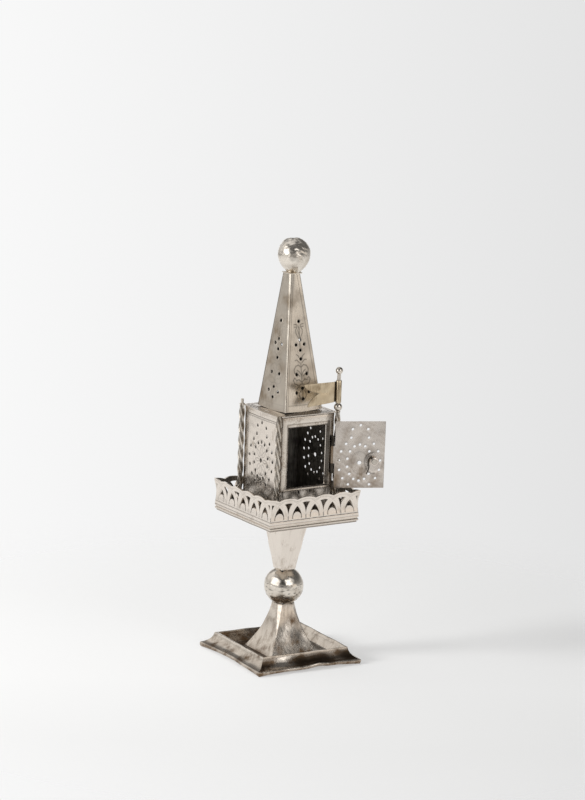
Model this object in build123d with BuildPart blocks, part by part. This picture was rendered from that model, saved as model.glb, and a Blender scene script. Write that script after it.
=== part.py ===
from build123d import *
import os
from math import cos, hypot, radians, sin, sqrt

os.makedirs("parts", exist_ok=True)

# Driving dimensions in millimetres. The frame stands on the middle of the foot's underside,
# +Z is up and the doorway looks along -Y.

# Sheet and fits
sheet = 0.7
solder_gap = 0.03
seat_depth = 0.4

# Foot
foot_width = 60.4
band_height = 2.4
band_thickness = 1.1
flange_width = 0.9
ridge_width = 50.0
ridge_height = 8.4
ridge_flat = 1.8
cavetto_bulge = 1.1
dish_height = 3.5
dish_slope_run = 2.5
foot_hole_width = 20.0

# Pedestal, knop and stem
pedestal_base_width = 28.4
pedestal_top_width = 9.5
pedestal_height = 25.3
pedestal_bulge = 2.4
knop_radius = 10.2
stem_bottom_width = 8.4
stem_top_width = 18.4
stem_height = 30.0

# Tray and gallery
tray_width = 53.8
strip_height = 2.1
strip_depth = 1.7
bead_radius = 0.7
floor_inset = 0.4
gallery_height = 14.1
lobe_rise = 1.1
bay_count = 5
arch_spring = 3.2
arch_height = 6.4
arch_half_width = 2.9
tongue_height = 3.3
tongue_half_width = 2.45
spandrel_top = 11.2
spandrel_depth = 6.2
spandrel_half_width = 2.25
spandrel_crown = 0.3
corner_rib = 0.8

# Spice box
box_width = 32.9
post_width = 2.3
post_turns = 1.5
post_gap = 0.2
roof_thickness = 0.8
roof_opening_width = 18.0
roof_edge = 0.3
post_rise = 0.2

# Pierced rosette, shared by the walls and the door. The shares are of the doorway's width or height.
hole_radius = 0.65
centre_hole_radius = 1.05
rosette_share = 0.365
inner_ring_share_x = 0.27
inner_ring_share_z = 0.306
outer_ring_share_x = 0.454
outer_ring_share_z = 0.429
crown_lift_share = 0.477
crown_radius_share = 0.158
inner_ring_count = 14
inner_holes_under_latch = (3, 4)
outer_ring_side_count = 6
outer_ring_start = 42.0
outer_ring_step = 21.5
crown_count = 5
crown_step = 55.0

# Doorway, its frame and the hinge
opening_width = 23.8
opening_height = 31.0
opening_sill = 16.8
frame_side = 3.3
frame_top = 4.4
frame_bottom = 1.9
frame_depth = 1.3
frame_bevel = 0.9
frame_to_roof = 1.5
sill_hole_spacing = 7.0
sill_hole_drop = 3.0
hinge_offset = 2.6
hinge_length = 18.8
door_knuckle_length = 9.2
knuckle_gap = 0.15
knuckle_radius = 0.95
barrel_gap = 0.1
pin_radius = 0.45
pin_play = 0.06
pin_head_radius = 0.8
pin_head_height = 0.4
hinge_tail_width = 1.1

# Door and its latch
door_thickness = 0.6
door_gap = 0.15
door_open_angle = 156.0
door_edge_gap = 1.2
door_lap_side = 0.8
door_lap_top = 2.0
door_lap_bottom = 1.9
latch_from_edge = 5.8
latch_share = 0.403
latch_thickness = 0.6
latch_gap = 0.2
latch_boss_radius = 2.1
latch_length = 8.0
spindle_radius = 0.8
spindle_play = 0.06
spindle_collar_radius = 1.4
rivet_head_radius = 1.25
rivet_head_height = 0.45
knob_radius = 1.8
knob_height = 1.8

# Spire and ball
spire_base_width = 22.2
spire_top_width = 6.5
spire_height = 70.0
spire_sheet = 0.6
spire_hole_radius = 0.65
cap_width = 8.2
cap_thickness = 0.9
collar_radius = 2.6
collar_height = 1.4
ball_radius = 8.06
ball_vent_radius = 1.2

# Flag
pole_radius = 0.95
pole_height = 20.0
pole_bead_radius = 2.15
pole_ball_radius = 1.9
sleeve_play = 0.06
sleeve_thickness = 0.5
sleeve_length = 11.6
flag_thickness = 0.5
flag_length = 21.0
flag_height = 10.4
flag_drop = 1.5
flag_notch_depth = 8.6
flag_lower_shortening = 2.5
stub_radius = 0.75
stub_height = 2.4

# Heights that follow from the sizes above, stacked from the foot up
pedestal_top = dish_height + pedestal_height
pedestal_mouth = pedestal_top_width / 2 - sheet
knop_centre = pedestal_top - seat_depth + sqrt(knop_radius**2 - pedestal_mouth**2)
stem_mouth = stem_bottom_width / 2 - sheet
stem_bottom = knop_centre + sqrt(knop_radius**2 - stem_mouth**2) - seat_depth
stem_top = stem_bottom + stem_height
floor_top = stem_top + sheet
box_height = opening_sill + opening_height + frame_top + frame_to_roof
roof_bottom = floor_top + box_height
roof_top = roof_bottom + roof_thickness
post_top = roof_top + post_rise
spire_top = roof_top + spire_height
collar_top = spire_top + cap_thickness + collar_height
ball_centre = collar_top - seat_depth / 2 + sqrt(ball_radius**2 - collar_radius**2)

# Places that follow from the sizes above
post_radius = post_width / sqrt(2)
post_axis = box_width / 2 + (post_radius + post_gap) / sqrt(2)
opening_bottom = floor_top + opening_sill
opening_top = opening_bottom + opening_height
rosette_height = opening_bottom + opening_height * rosette_share
inner_ring_x = opening_width * inner_ring_share_x
inner_ring_z = opening_height * inner_ring_share_z
outer_ring_x = opening_width * outer_ring_share_x
outer_ring_z = opening_height * outer_ring_share_z
crown_lift = opening_height * crown_lift_share
crown_radius = opening_height * crown_radius_share
frame_front = box_width / 2 + frame_depth
hinge_x = opening_width / 2 + hinge_offset
hinge_y = -(frame_front + barrel_gap + knuckle_radius)
hinge_middle = opening_bottom + opening_height / 2
door_inner = knuckle_radius + barrel_gap - door_gap
door_outer = door_inner - door_thickness
door_end = hinge_x + opening_width / 2 + door_lap_side
door_middle = (door_edge_gap + door_end) / 2
door_bottom = opening_bottom - door_lap_bottom
door_top = opening_top + door_lap_top
door_turn = radians(180 - door_open_angle)
latch_seat = frame_depth + sheet + latch_gap + knuckle_radius + barrel_gap
latch_height = opening_bottom + opening_height * latch_share
bead_centre = post_top + pole_bead_radius * 0.95
pole_top = post_top + pole_height
sleeve_bottom = bead_centre + pole_bead_radius + 0.1

sides = {"front": 0, "right": 90, "back": 180, "left": 270}
corners = {"front_left": 180, "front_right": 270, "back_right": 0, "back_left": 90}

# The door's plane runs from the hinge to the free edge, with its inner face towards the viewer
door_plane = Plane(
    origin=(hinge_x, hinge_y, 0),
    x_dir=(cos(door_turn), -sin(door_turn), 0),
    z_dir=(-sin(door_turn), -cos(door_turn), 0),
)


def save(part, name):
    """Label one sub-part and write it beside the others."""
    part.label = name
    export_step(part, f"parts/{name}.step")


def bulged(start, end, bulge):
    """An arc between two points whose middle stands off the straight line to the right by the bulge."""
    run_x = end[0] - start[0]
    run_y = end[1] - start[1]
    length = hypot(run_x, run_y)
    middle_x = (start[0] + end[0]) / 2 + bulge * run_y / length
    middle_y = (start[1] + end[1]) / 2 - bulge * run_x / length
    return ThreePointArc(start, (middle_x, middle_y), end)


def square_form(draw_outline):
    """A solid whose level sections are squares: one outline run both ways and kept where they meet."""
    with BuildPart() as form:
        for plane, mode in ((Plane.XZ, Mode.ADD), (Plane.YZ, Mode.INTERSECT)):
            with BuildSketch(plane):
                with BuildLine():
                    draw_outline()
                    mirror(about=Plane.YZ)
                make_face()
            extrude(amount=foot_width, both=True, mode=mode)
    return form.part


def rosette(with_latch_gap=False):
    """Hole places about the rosette's middle: an inner oval, an open outer oval and a crown above."""
    inner = []
    for number in range(inner_ring_count):
        if with_latch_gap and number in inner_holes_under_latch:
            continue
        turn = radians(360 / inner_ring_count * number)
        inner.append((inner_ring_x * sin(turn), inner_ring_z * cos(turn)))
    outer = []
    for side in (-1, 1):
        for number in range(outer_ring_side_count):
            turn = radians(outer_ring_start + outer_ring_step * number)
            outer.append((side * outer_ring_x * sin(turn), outer_ring_z * cos(turn)))
    crown = []
    for number in range(crown_count):
        turn = radians(crown_step * (number - (crown_count - 1) / 2))
        crown.append((crown_radius * sin(turn), crown_lift + crown_radius * cos(turn)))
    return inner + outer + crown


# Foot: the hollow curve of the sheet has one centre for its upper and under faces
curve_low = (foot_width / 2 - band_thickness - flange_width, band_height)
curve_high = (ridge_width / 2, ridge_height)
curve_chord = hypot(curve_low[0] - curve_high[0], curve_high[1] - curve_low[1])
curve_radius = (curve_chord**2 / 4 + cavetto_bulge**2) / (2 * cavetto_bulge)
curve_out = (curve_high[1] - curve_low[1]) / curve_chord
curve_up = (curve_low[0] - curve_high[0]) / curve_chord
curve_x = (curve_low[0] + curve_high[0]) / 2 + curve_out * (curve_radius - cavetto_bulge)
curve_z = (curve_low[1] + curve_high[1]) / 2 + curve_up * (curve_radius - cavetto_bulge)
under_radius = curve_radius + sheet
ridge_under = ridge_height - sheet
under_high = (curve_x - sqrt(under_radius**2 - (ridge_under - curve_z) ** 2), ridge_under)
flange_under = band_height - sheet
under_low = (curve_x - sqrt(under_radius**2 - (flange_under - curve_z) ** 2), flange_under)
under_chord = hypot(under_low[0] - under_high[0], under_high[1] - under_low[1])
under_bulge = under_radius - sqrt(under_radius**2 - under_chord**2 / 4)
slope_high = ridge_width / 2 - ridge_flat
slope_low = slope_high - dish_slope_run
slope_length = hypot(dish_slope_run, ridge_height - dish_height)
slope_shift = sheet * slope_length / (ridge_height - dish_height)
slope_rate = dish_slope_run / (ridge_height - dish_height)


def foot_outside():
    Polyline((0, flange_under), (foot_width / 2 - band_thickness, flange_under),
             (foot_width / 2 - band_thickness, band_height), curve_low)
    bulged(curve_high, curve_low, cavetto_bulge)
    Line(curve_high, (0, ridge_height))


def foot_underside():
    Line((0, flange_under), under_low)
    bulged(under_high, under_low, under_bulge)
    Line(under_high, (0, ridge_under))


def dish_outside():
    under_floor = dish_height - sheet
    Polyline((0, under_floor),
             (slope_low + slope_shift - slope_rate * sheet, under_floor),
             (slope_high + slope_shift - slope_rate * sheet, ridge_under),
             (0, ridge_under))


def dish_inside():
    Polyline((0, dish_height), (slope_low, dish_height), (slope_high, ridge_height), (0, ridge_height))


with BuildPart() as foot_edge_band:
    with BuildSketch():
        Rectangle(foot_width, foot_width)
        Rectangle(foot_width - 2 * band_thickness, foot_width - 2 * band_thickness, mode=Mode.SUBTRACT)
    extrude(amount=band_height)
save(foot_edge_band.part, "foot_edge_band")

with BuildPart() as foot_moulding:
    add(square_form(foot_outside))
    add(square_form(foot_underside), mode=Mode.SUBTRACT)
    add(square_form(dish_outside))
    add(square_form(dish_inside), mode=Mode.SUBTRACT)
    with BuildSketch():
        Rectangle(foot_hole_width, foot_hole_width)
    extrude(amount=dish_height, mode=Mode.SUBTRACT)
save(foot_moulding.part, "foot_moulding")


def pedestal_outline(inset):
    """The flared side of the pedestal, set in by the inset."""
    low = (pedestal_base_width / 2 - inset, dish_height)
    high = (pedestal_top_width / 2 - inset, pedestal_top)
    Line((0, dish_height), low)
    bulged(high, low, pedestal_bulge)
    Line(high, (0, pedestal_top))


with BuildPart() as pedestal:
    add(square_form(lambda: pedestal_outline(0)))
    add(square_form(lambda: pedestal_outline(sheet)), mode=Mode.SUBTRACT)
    with Locations((0, 0, knop_centre)):
        Sphere(knop_radius + solder_gap, mode=Mode.SUBTRACT)
save(pedestal.part, "pedestal")

# Knop: two raised half balls soldered at the equator
with BuildPart() as knop_lower:
    with Locations((0, 0, knop_centre)):
        Sphere(knop_radius)
        Sphere(knop_radius - sheet, mode=Mode.SUBTRACT)
    split(bisect_by=Plane.XY.offset(knop_centre), keep=Keep.BOTTOM)
save(knop_lower.part, "knop_lower")

with BuildPart() as knop_upper:
    with Locations((0, 0, knop_centre)):
        Sphere(knop_radius)
        Sphere(knop_radius - sheet, mode=Mode.SUBTRACT)
    split(bisect_by=Plane.XY.offset(knop_centre), keep=Keep.TOP)
save(knop_upper.part, "knop_upper")

with BuildPart() as stem:
    for inset, mode in ((0, Mode.ADD), (sheet, Mode.SUBTRACT)):
        with BuildSketch(Plane.XY.offset(stem_bottom)):
            Rectangle(stem_bottom_width - 2 * inset, stem_bottom_width - 2 * inset)
        with BuildSketch(Plane.XY.offset(stem_top)):
            Rectangle(stem_top_width - 2 * inset, stem_top_width - 2 * inset)
        loft(mode=mode)
    with Locations((0, 0, knop_centre)):
        Sphere(knop_radius + solder_gap, mode=Mode.SUBTRACT)
save(stem.part, "stem")

# Tray: a floor plate on four mitred strips of drawn moulding
with BuildPart() as tray_floor:
    with BuildSketch(Plane.XY.offset(stem_top)):
        Rectangle(tray_width - 2 * floor_inset, tray_width - 2 * floor_inset)
    extrude(amount=sheet)
save(tray_floor.part, "tray_floor")

with BuildPart() as front_quarter:
    with BuildSketch():
        Polygon((0, 0), (foot_width, -foot_width), (-foot_width, -foot_width), align=None)
    extrude(amount=spire_top + cap_width)

strip_outer = tray_width / 2 - bead_radius
with BuildPart() as strip:
    with BuildSketch(Plane.YZ):
        with BuildLine():
            Polyline((-strip_outer, stem_top - 2 * bead_radius), (-strip_outer, stem_top - strip_height),
                     (-strip_outer + strip_depth, stem_top - strip_height),
                     (-strip_outer + strip_depth, stem_top), (-strip_outer, stem_top))
            ThreePointArc((-strip_outer, stem_top), (-strip_outer - bead_radius, stem_top - bead_radius),
                          (-strip_outer, stem_top - 2 * bead_radius))
        make_face()
    extrude(amount=tray_width, both=True)
    add(front_quarter.part, mode=Mode.INTERSECT)
for side, turn in sides.items():
    save(strip.part.rotate(Axis.Z, turn), f"tray_moulding_{side}")

# Gallery: one pierced panel of arches, spandrels and a scalloped edge, mitred at the corners
pitch = tray_width / bay_count
lobe_radius = (pitch**2 / 4 + lobe_rise**2) / (2 * lobe_rise)
arch_radius = (arch_half_width**2 + arch_height**2) / (2 * arch_half_width)
arch_mid = arch_half_width - arch_radius + arch_radius * cos(radians(20))
arch_mid_rise = arch_radius * sin(radians(20))
bay_middles = [pitch * (number - (bay_count - 1) / 2) for number in range(bay_count)]
spandrel_middles = [pitch * (number - bay_count / 2) for number in range(bay_count + 1)]

with BuildPart() as gallery:
    with BuildSketch(Plane.XZ.offset(tray_width / 2 - sheet)):
        with Locations([(x, floor_top + gallery_height - lobe_radius) for x in spandrel_middles]):
            Circle(lobe_radius)
        with Locations((0, floor_top + gallery_height / 2)):
            Rectangle(tray_width, gallery_height, mode=Mode.INTERSECT)
        spring = floor_top + arch_spring
        for x in bay_middles:
            with BuildLine():
                for side in (-1, 1):
                    ThreePointArc((x + side * arch_half_width, spring),
                                  (x + side * arch_mid, spring + arch_mid_rise),
                                  (x, spring + arch_height))
                    Line((x + side * arch_half_width, spring), (x + side * tongue_half_width, spring))
                ThreePointArc((x - tongue_half_width, spring), (x, spring + tongue_height),
                              (x + tongue_half_width, spring))
            make_face(mode=Mode.SUBTRACT)
        top = floor_top + spandrel_top
        for x in spandrel_middles[1:-1]:
            with BuildLine():
                for side in (-1, 1):
                    ThreePointArc((x, top - spandrel_depth),
                                  (x + side * spandrel_half_width * 0.32, top - spandrel_depth * 0.42),
                                  (x + side * spandrel_half_width, top))
                ThreePointArc((x - spandrel_half_width, top), (x, top + spandrel_crown),
                              (x + spandrel_half_width, top))
            make_face(mode=Mode.SUBTRACT)
        for side in (-1, 1):
            x = side * tray_width / 2
            with BuildLine():
                Polyline((x - side * spandrel_half_width, top), (x - side * corner_rib, top),
                         (x - side * corner_rib, top - spandrel_depth * 0.5))
                bulged((x - side * corner_rib, top - spandrel_depth * 0.5),
                       (x - side * spandrel_half_width, top), -side * 0.12)
            make_face(mode=Mode.SUBTRACT)
    extrude(amount=sheet)
    add(front_quarter.part, mode=Mode.INTERSECT)
for side, turn in sides.items():
    save(gallery.part.rotate(Axis.Z, turn), f"gallery_{side}")

# Spice box: four walls, the front and back ones running over the ends of the others
wall_middle = floor_top + box_height / 2
with BuildPart() as wall_back:
    with BuildSketch(Plane.XZ.offset(-box_width / 2)):
        with Locations((0, wall_middle)):
            Rectangle(box_width, box_height)
        with Locations((0, rosette_height)):
            Circle(centre_hole_radius, mode=Mode.SUBTRACT)
            with Locations(rosette()):
                Circle(hole_radius, mode=Mode.SUBTRACT)
    extrude(amount=sheet)
save(wall_back.part, "box_wall_back")

with BuildPart() as wall_side:
    with BuildSketch(Plane.YZ.offset(box_width / 2 - sheet)):
        with Locations((0, wall_middle)):
            Rectangle(box_width - 2 * sheet, box_height)
        with Locations((0, rosette_height)):
            Circle(centre_hole_radius, mode=Mode.SUBTRACT)
            with Locations(rosette()):
                Circle(hole_radius, mode=Mode.SUBTRACT)
    extrude(amount=sheet)
save(wall_side.part.rotate(Axis.Z, 180), "box_wall_left")
save(wall_side.part.rotate(Axis.Z, 0), "box_wall_right")

with BuildPart() as wall_front:
    with BuildSketch(Plane.XZ.offset(box_width / 2 - sheet)):
        with Locations((0, wall_middle)):
            Rectangle(box_width, box_height)
        with Locations((0, opening_bottom + opening_height / 2)):
            Rectangle(opening_width, opening_height, mode=Mode.SUBTRACT)
        with Locations((0, opening_bottom - sill_hole_drop)):
            with GridLocations(sill_hole_spacing, 1, 2, 1):
                Circle(hole_radius, mode=Mode.SUBTRACT)
    extrude(amount=sheet)
save(wall_front.part, "box_wall_front")

# Door frame: a moulded surround on the front wall with a bevelled inner edge
frame_low = opening_bottom - frame_bottom
frame_high = opening_top + frame_top
with BuildPart() as door_frame:
    with BuildSketch(Plane.XZ.offset(box_width / 2)):
        with Locations((0, (frame_low + frame_high) / 2)):
            Rectangle(opening_width + 2 * frame_side, frame_high - frame_low)
        with Locations((0, opening_bottom + opening_height / 2)):
            Rectangle(opening_width, opening_height, mode=Mode.SUBTRACT)
    extrude(amount=frame_depth)
    outer_face = door_frame.faces().sort_by(Axis.Y)[0]
    chamfer(outer_face.inner_wires()[0].edges(), frame_bevel)
save(door_frame.part, "door_frame")

# Corner posts: square bar twisted left-handed, standing outside the corners of the box
post_length = post_top - floor_top
for corner, turn in corners.items():
    post_x = post_axis * sqrt(2) * cos(radians(45 + turn))
    post_y = post_axis * sqrt(2) * sin(radians(45 + turn))
    with BuildSketch(Plane.XY.offset(floor_top)) as post_section:
        with Locations((post_x, post_y)):
            Rectangle(post_width, post_width)
    with BuildPart() as post:
        add(Solid.extrude_linear_with_rotation(
            post_section.sketch.face(), (post_x, post_y, floor_top), (0, 0, post_length), -360 * post_turns))
    save(post.part, f"corner_post_{corner}")

# Roof: a shallow lid with folded edges that drop to the top of the door frame
roof_skirt = frame_to_roof - door_gap
with BuildPart() as roof_plate:
    with BuildSketch(Plane.XY.offset(roof_bottom)):
        Rectangle(2 * post_axis, 2 * post_axis)
    extrude(amount=roof_thickness)
    chamfer(roof_plate.faces().sort_by(Axis.Z)[-1].edges(), roof_edge)
    with BuildSketch(Plane.XY.offset(roof_bottom - roof_skirt)):
        Rectangle(2 * post_axis, 2 * post_axis)
        Rectangle(2 * (post_axis - sheet), 2 * (post_axis - sheet), mode=Mode.SUBTRACT)
    extrude(amount=roof_skirt)
    with BuildSketch(Plane.XY.offset(roof_bottom - roof_skirt)):
        Rectangle(roof_opening_width, roof_opening_width)
        with GridLocations(2 * post_axis, 2 * post_axis, 2, 2):
            Circle(post_radius + post_gap / 2)
    extrude(amount=roof_skirt + roof_thickness, mode=Mode.SUBTRACT)
save(roof_plate.part, "roof_plate")

# Spire: four pierced panels, mitred along the corners, and a cap that the ball sits on
spire_holes = [
    (0, 0.655), (0, 0.52), (0, 0.446), (0, 0.383), (0, 0.171), (0, 0.095),
]
for side in (-1, 1):
    spire_holes.append((side * 2.6, 0.487))
    spire_holes.append((side * 3.2, 0.272))
    spire_holes.append((side * 3.9, 0.14))
with BuildPart() as spire_panel:
    for inset, mode in ((0, Mode.ADD), (spire_sheet, Mode.SUBTRACT)):
        with BuildSketch(Plane.XY.offset(roof_top)):
            Rectangle(spire_base_width - 2 * inset, spire_base_width - 2 * inset)
        with BuildSketch(Plane.XY.offset(spire_top)):
            Rectangle(spire_top_width - 2 * inset, spire_top_width - 2 * inset)
        loft(mode=mode)
    add(front_quarter.part, mode=Mode.INTERSECT)
    with BuildSketch(Plane.XZ):
        with Locations([(x, roof_top + share * spire_height) for x, share in spire_holes]):
            Circle(spire_hole_radius)
    extrude(amount=spire_base_width, mode=Mode.SUBTRACT)
for side, turn in sides.items():
    save(spire_panel.part.rotate(Axis.Z, turn), f"spire_panel_{side}")

with BuildPart() as spire_cap:
    with BuildSketch(Plane.XY.offset(spire_top)):
        Rectangle(cap_width, cap_width)
    extrude(amount=cap_thickness)
    with BuildSketch(Plane.XY.offset(spire_top + cap_thickness)):
        Circle(collar_radius)
    extrude(amount=collar_height)
    with Locations((0, 0, ball_centre)):
        Sphere(ball_radius + solder_gap, mode=Mode.SUBTRACT)
save(spire_cap.part, "spire_cap")

with BuildPart() as finial_lower:
    with Locations((0, 0, ball_centre)):
        Sphere(ball_radius)
        Sphere(ball_radius - sheet, mode=Mode.SUBTRACT)
    split(bisect_by=Plane.XY.offset(ball_centre), keep=Keep.BOTTOM)
save(finial_lower.part, "finial_ball_lower")

with BuildPart() as finial_upper:
    with Locations((0, 0, ball_centre)):
        Sphere(ball_radius)
        Sphere(ball_radius - sheet, mode=Mode.SUBTRACT)
    split(bisect_by=Plane.XY.offset(ball_centre), keep=Keep.TOP)
    with BuildSketch(Plane.XY.offset(ball_centre)):
        Circle(ball_vent_radius)
    extrude(amount=2 * ball_radius, mode=Mode.SUBTRACT)
save(finial_upper.part, "finial_ball_upper")

# Flag pole on the front right post, and the stub left on the back left post
with BuildPart() as flag_pole:
    with BuildSketch(Plane.XY.offset(post_top)):
        with Locations((post_axis, -post_axis)):
            Circle(pole_radius)
    extrude(amount=pole_height)
save(flag_pole.part, "flag_pole")

with BuildPart() as pole_bead:
    with Locations((post_axis, -post_axis, bead_centre)):
        Sphere(pole_bead_radius)
        Cylinder(pole_radius + solder_gap, 3 * pole_bead_radius, mode=Mode.SUBTRACT)
    split(bisect_by=Plane.XY.offset(post_top), keep=Keep.TOP)
save(pole_bead.part, "flag_pole_bead")

with BuildPart() as pole_ball:
    with Locations((post_axis, -post_axis, pole_top + pole_ball_radius * 0.5)):
        Sphere(pole_ball_radius)
    with BuildSketch(Plane.XY.offset(pole_top)):
        with Locations((post_axis, -post_axis)):
            Circle(pole_radius + solder_gap)
    extrude(amount=-pole_ball_radius, mode=Mode.SUBTRACT)
save(pole_ball.part, "flag_pole_ball")

with BuildPart() as pole_stub:
    with BuildSketch(Plane.XY.offset(post_top)):
        with Locations((-post_axis, post_axis)):
            Circle(stub_radius)
    extrude(amount=stub_height)
save(pole_stub.part, "flag_pole_stub")

# Flag: a swallow-tailed plate on a sleeve that turns about the pole
bore = pole_radius + sleeve_play
hoist = post_axis - bore - sleeve_thickness / 2
flag_low = sleeve_bottom + (sleeve_length - flag_height) / 2
flag_high = flag_low + flag_height
tip_high = (post_axis - flag_length, flag_high)
notch = (post_axis - flag_length + flag_notch_depth, flag_low + flag_height / 2)
tip_low = (post_axis - flag_length + flag_lower_shortening, flag_low - flag_drop)
with BuildPart() as flag:
    with BuildSketch(Plane.XZ.offset(post_axis - flag_thickness / 2)):
        with BuildLine():
            Polyline(tip_low, (hoist, flag_low), (hoist, flag_high), tip_high)
            bulged(tip_high, notch, 0.9)
            bulged(notch, tip_low, 0.9)
        make_face()
    extrude(amount=flag_thickness)
    with BuildSketch(Plane.XY.offset(sleeve_bottom)):
        with Locations((post_axis, -post_axis)):
            Circle(bore + sleeve_thickness)
            Circle(bore, mode=Mode.SUBTRACT)
    extrude(amount=sleeve_length)
save(flag.part, "flag")

# Hinge: two fixed knuckles with tails on the frame, a pin, and one knuckle on the door
fixed_knuckle = (hinge_length - door_knuckle_length) / 2 - knuckle_gap
hinge_bottom = hinge_middle - hinge_length / 2
with BuildPart() as hinge_knuckles:
    for low in (hinge_bottom, hinge_bottom + hinge_length - fixed_knuckle):
        with BuildSketch(Plane.XY.offset(low)):
            with Locations((hinge_x, hinge_y)):
                Circle(knuckle_radius)
            with Locations((hinge_x, -frame_front)):
                Rectangle(hinge_tail_width, knuckle_radius, align=(Align.MIN, Align.MAX))
            with Locations((hinge_x, hinge_y)):
                Circle(pin_radius + solder_gap, mode=Mode.SUBTRACT)
        extrude(amount=fixed_knuckle)
save(hinge_knuckles.part, "hinge_knuckles")

with BuildPart() as hinge_pin:
    with BuildSketch(Plane.XY.offset(hinge_bottom - pin_head_height)):
        with Locations((hinge_x, hinge_y)):
            Circle(pin_head_radius)
    extrude(amount=pin_head_height)
    with BuildSketch(Plane.XY.offset(hinge_bottom)):
        with Locations((hinge_x, hinge_y)):
            Circle(pin_radius)
    extrude(amount=hinge_length)
    with BuildSketch(Plane.XY.offset(hinge_bottom + hinge_length)):
        with Locations((hinge_x, hinge_y)):
            Circle(pin_head_radius)
    extrude(amount=pin_head_height)
save(hinge_pin.part, "hinge_pin")

# Door: a pierced plate with its own knuckle, built on the plane where it stands open
latch_u = door_end - latch_from_edge
knuckle_low = hinge_middle - door_knuckle_length / 2
with BuildPart() as door:
    with BuildSketch(door_plane.offset(door_outer)):
        with Locations((door_middle, (door_bottom + door_top) / 2)):
            Rectangle(door_end - door_edge_gap, door_top - door_bottom)
        with Locations((0, hinge_middle)):
            Rectangle(door_middle, door_knuckle_length, align=(Align.MIN, Align.CENTER))
        with Locations((door_middle, rosette_height)):
            Circle(centre_hole_radius, mode=Mode.SUBTRACT)
            with Locations(rosette(with_latch_gap=True)):
                Circle(hole_radius, mode=Mode.SUBTRACT)
        with Locations((latch_u, latch_height)):
            Circle(spindle_radius + spindle_play, mode=Mode.SUBTRACT)
    extrude(amount=door_thickness)
    with BuildSketch(Plane.XY.offset(knuckle_low)):
        with Locations((hinge_x, hinge_y)):
            Circle(knuckle_radius)
    extrude(amount=door_knuckle_length)
    with BuildSketch(Plane.XY.offset(knuckle_low)):
        with Locations((hinge_x, hinge_y)):
            Circle(pin_radius + pin_play)
    extrude(amount=door_knuckle_length, mode=Mode.SUBTRACT)
save(door.part, "door")

# Latch: a hooked lever behind the door on a spindle that a knob turns from outside
latch_plane = Plane(
    origin=door_plane.from_local_coords((latch_u, latch_height, latch_seat)),
    x_dir=door_plane.x_dir,
    z_dir=door_plane.z_dir,
)
neck_inner = (-latch_length * 0.14, -latch_length * 0.53)
neck_outer = (-latch_length * 0.29, -latch_length * 0.49)
hook_inner = (-latch_length * 0.49, -latch_length)
hook_outer = (-latch_length * 0.58, -latch_length * 0.9)
with BuildPart() as latch_lever:
    with BuildSketch(latch_plane):
        with BuildLine():
            Line((-latch_boss_radius, 0), (latch_boss_radius, 0))
            bulged((latch_boss_radius, 0), neck_inner, 0.7)
            bulged(neck_inner, hook_inner, -0.5)
            Line(hook_inner, hook_outer)
            bulged(hook_outer, neck_outer, 0.4)
            bulged(neck_outer, (-latch_boss_radius, 0), -0.3)
        make_face()
        Circle(latch_boss_radius)
        Circle(spindle_radius + solder_gap, mode=Mode.SUBTRACT)
    extrude(amount=latch_thickness)
save(latch_lever.part, "latch_lever")

knob_face = door_outer - spindle_play
collar_face = door_inner + spindle_play
lever_back = latch_seat + latch_thickness
with BuildPart() as latch_spindle:
    for low, high, radius in (
        (knob_face - knob_height, knob_face, knob_radius),
        (knob_face, lever_back + rivet_head_height, spindle_radius),
        (collar_face, latch_seat, spindle_collar_radius),
        (lever_back, lever_back + rivet_head_height, rivet_head_radius),
    ):
        with BuildSketch(door_plane.offset(low)):
            with Locations((latch_u, latch_height)):
                Circle(radius)
        extrude(amount=high - low)
    knob_rim = latch_spindle.edges().sort_by(Axis((0, 0, 0), door_plane.z_dir))[0]
    fillet(knob_rim, knob_height * 0.4)
save(latch_spindle.part, "latch_spindle")
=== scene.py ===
# %% [markdown]
# # A silver spice tower
# The tower is raised, pierced and soldered from thin silver sheet, about a hand's length tall. The solid model
# gives every piece its place, so this lesson only dresses it: each cell takes one piece of the tower and works out
# its surface as an array of points, in millimetres, in the same frame as the solid model.

# %% Load the solid model
import bmesh
import bpy
import numpy as np
from mathutils import Matrix, Vector


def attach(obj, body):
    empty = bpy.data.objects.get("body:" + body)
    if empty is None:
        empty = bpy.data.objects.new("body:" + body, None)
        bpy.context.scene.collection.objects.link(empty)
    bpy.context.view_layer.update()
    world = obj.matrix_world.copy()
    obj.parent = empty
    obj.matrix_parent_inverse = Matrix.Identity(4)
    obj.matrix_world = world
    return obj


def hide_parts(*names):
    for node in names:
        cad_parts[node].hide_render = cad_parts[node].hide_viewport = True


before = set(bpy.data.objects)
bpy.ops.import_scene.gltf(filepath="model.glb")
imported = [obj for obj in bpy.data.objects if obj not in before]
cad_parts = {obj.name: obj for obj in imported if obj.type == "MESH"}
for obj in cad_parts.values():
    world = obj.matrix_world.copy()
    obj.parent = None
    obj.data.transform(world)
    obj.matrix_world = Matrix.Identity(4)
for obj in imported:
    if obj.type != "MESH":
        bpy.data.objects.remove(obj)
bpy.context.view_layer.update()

MM = 0.001

# %% [markdown]
# ## Camera
# A photograph's viewpoint can be guessed by eye, or solved from points whose places are known. Here the corners of
# the tray, the foot, the roof and the door were solved together. The long lens keeps the square tray almost free
# of perspective, and the camera is rolled a little because the tower leans to the right in the picture.

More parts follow.
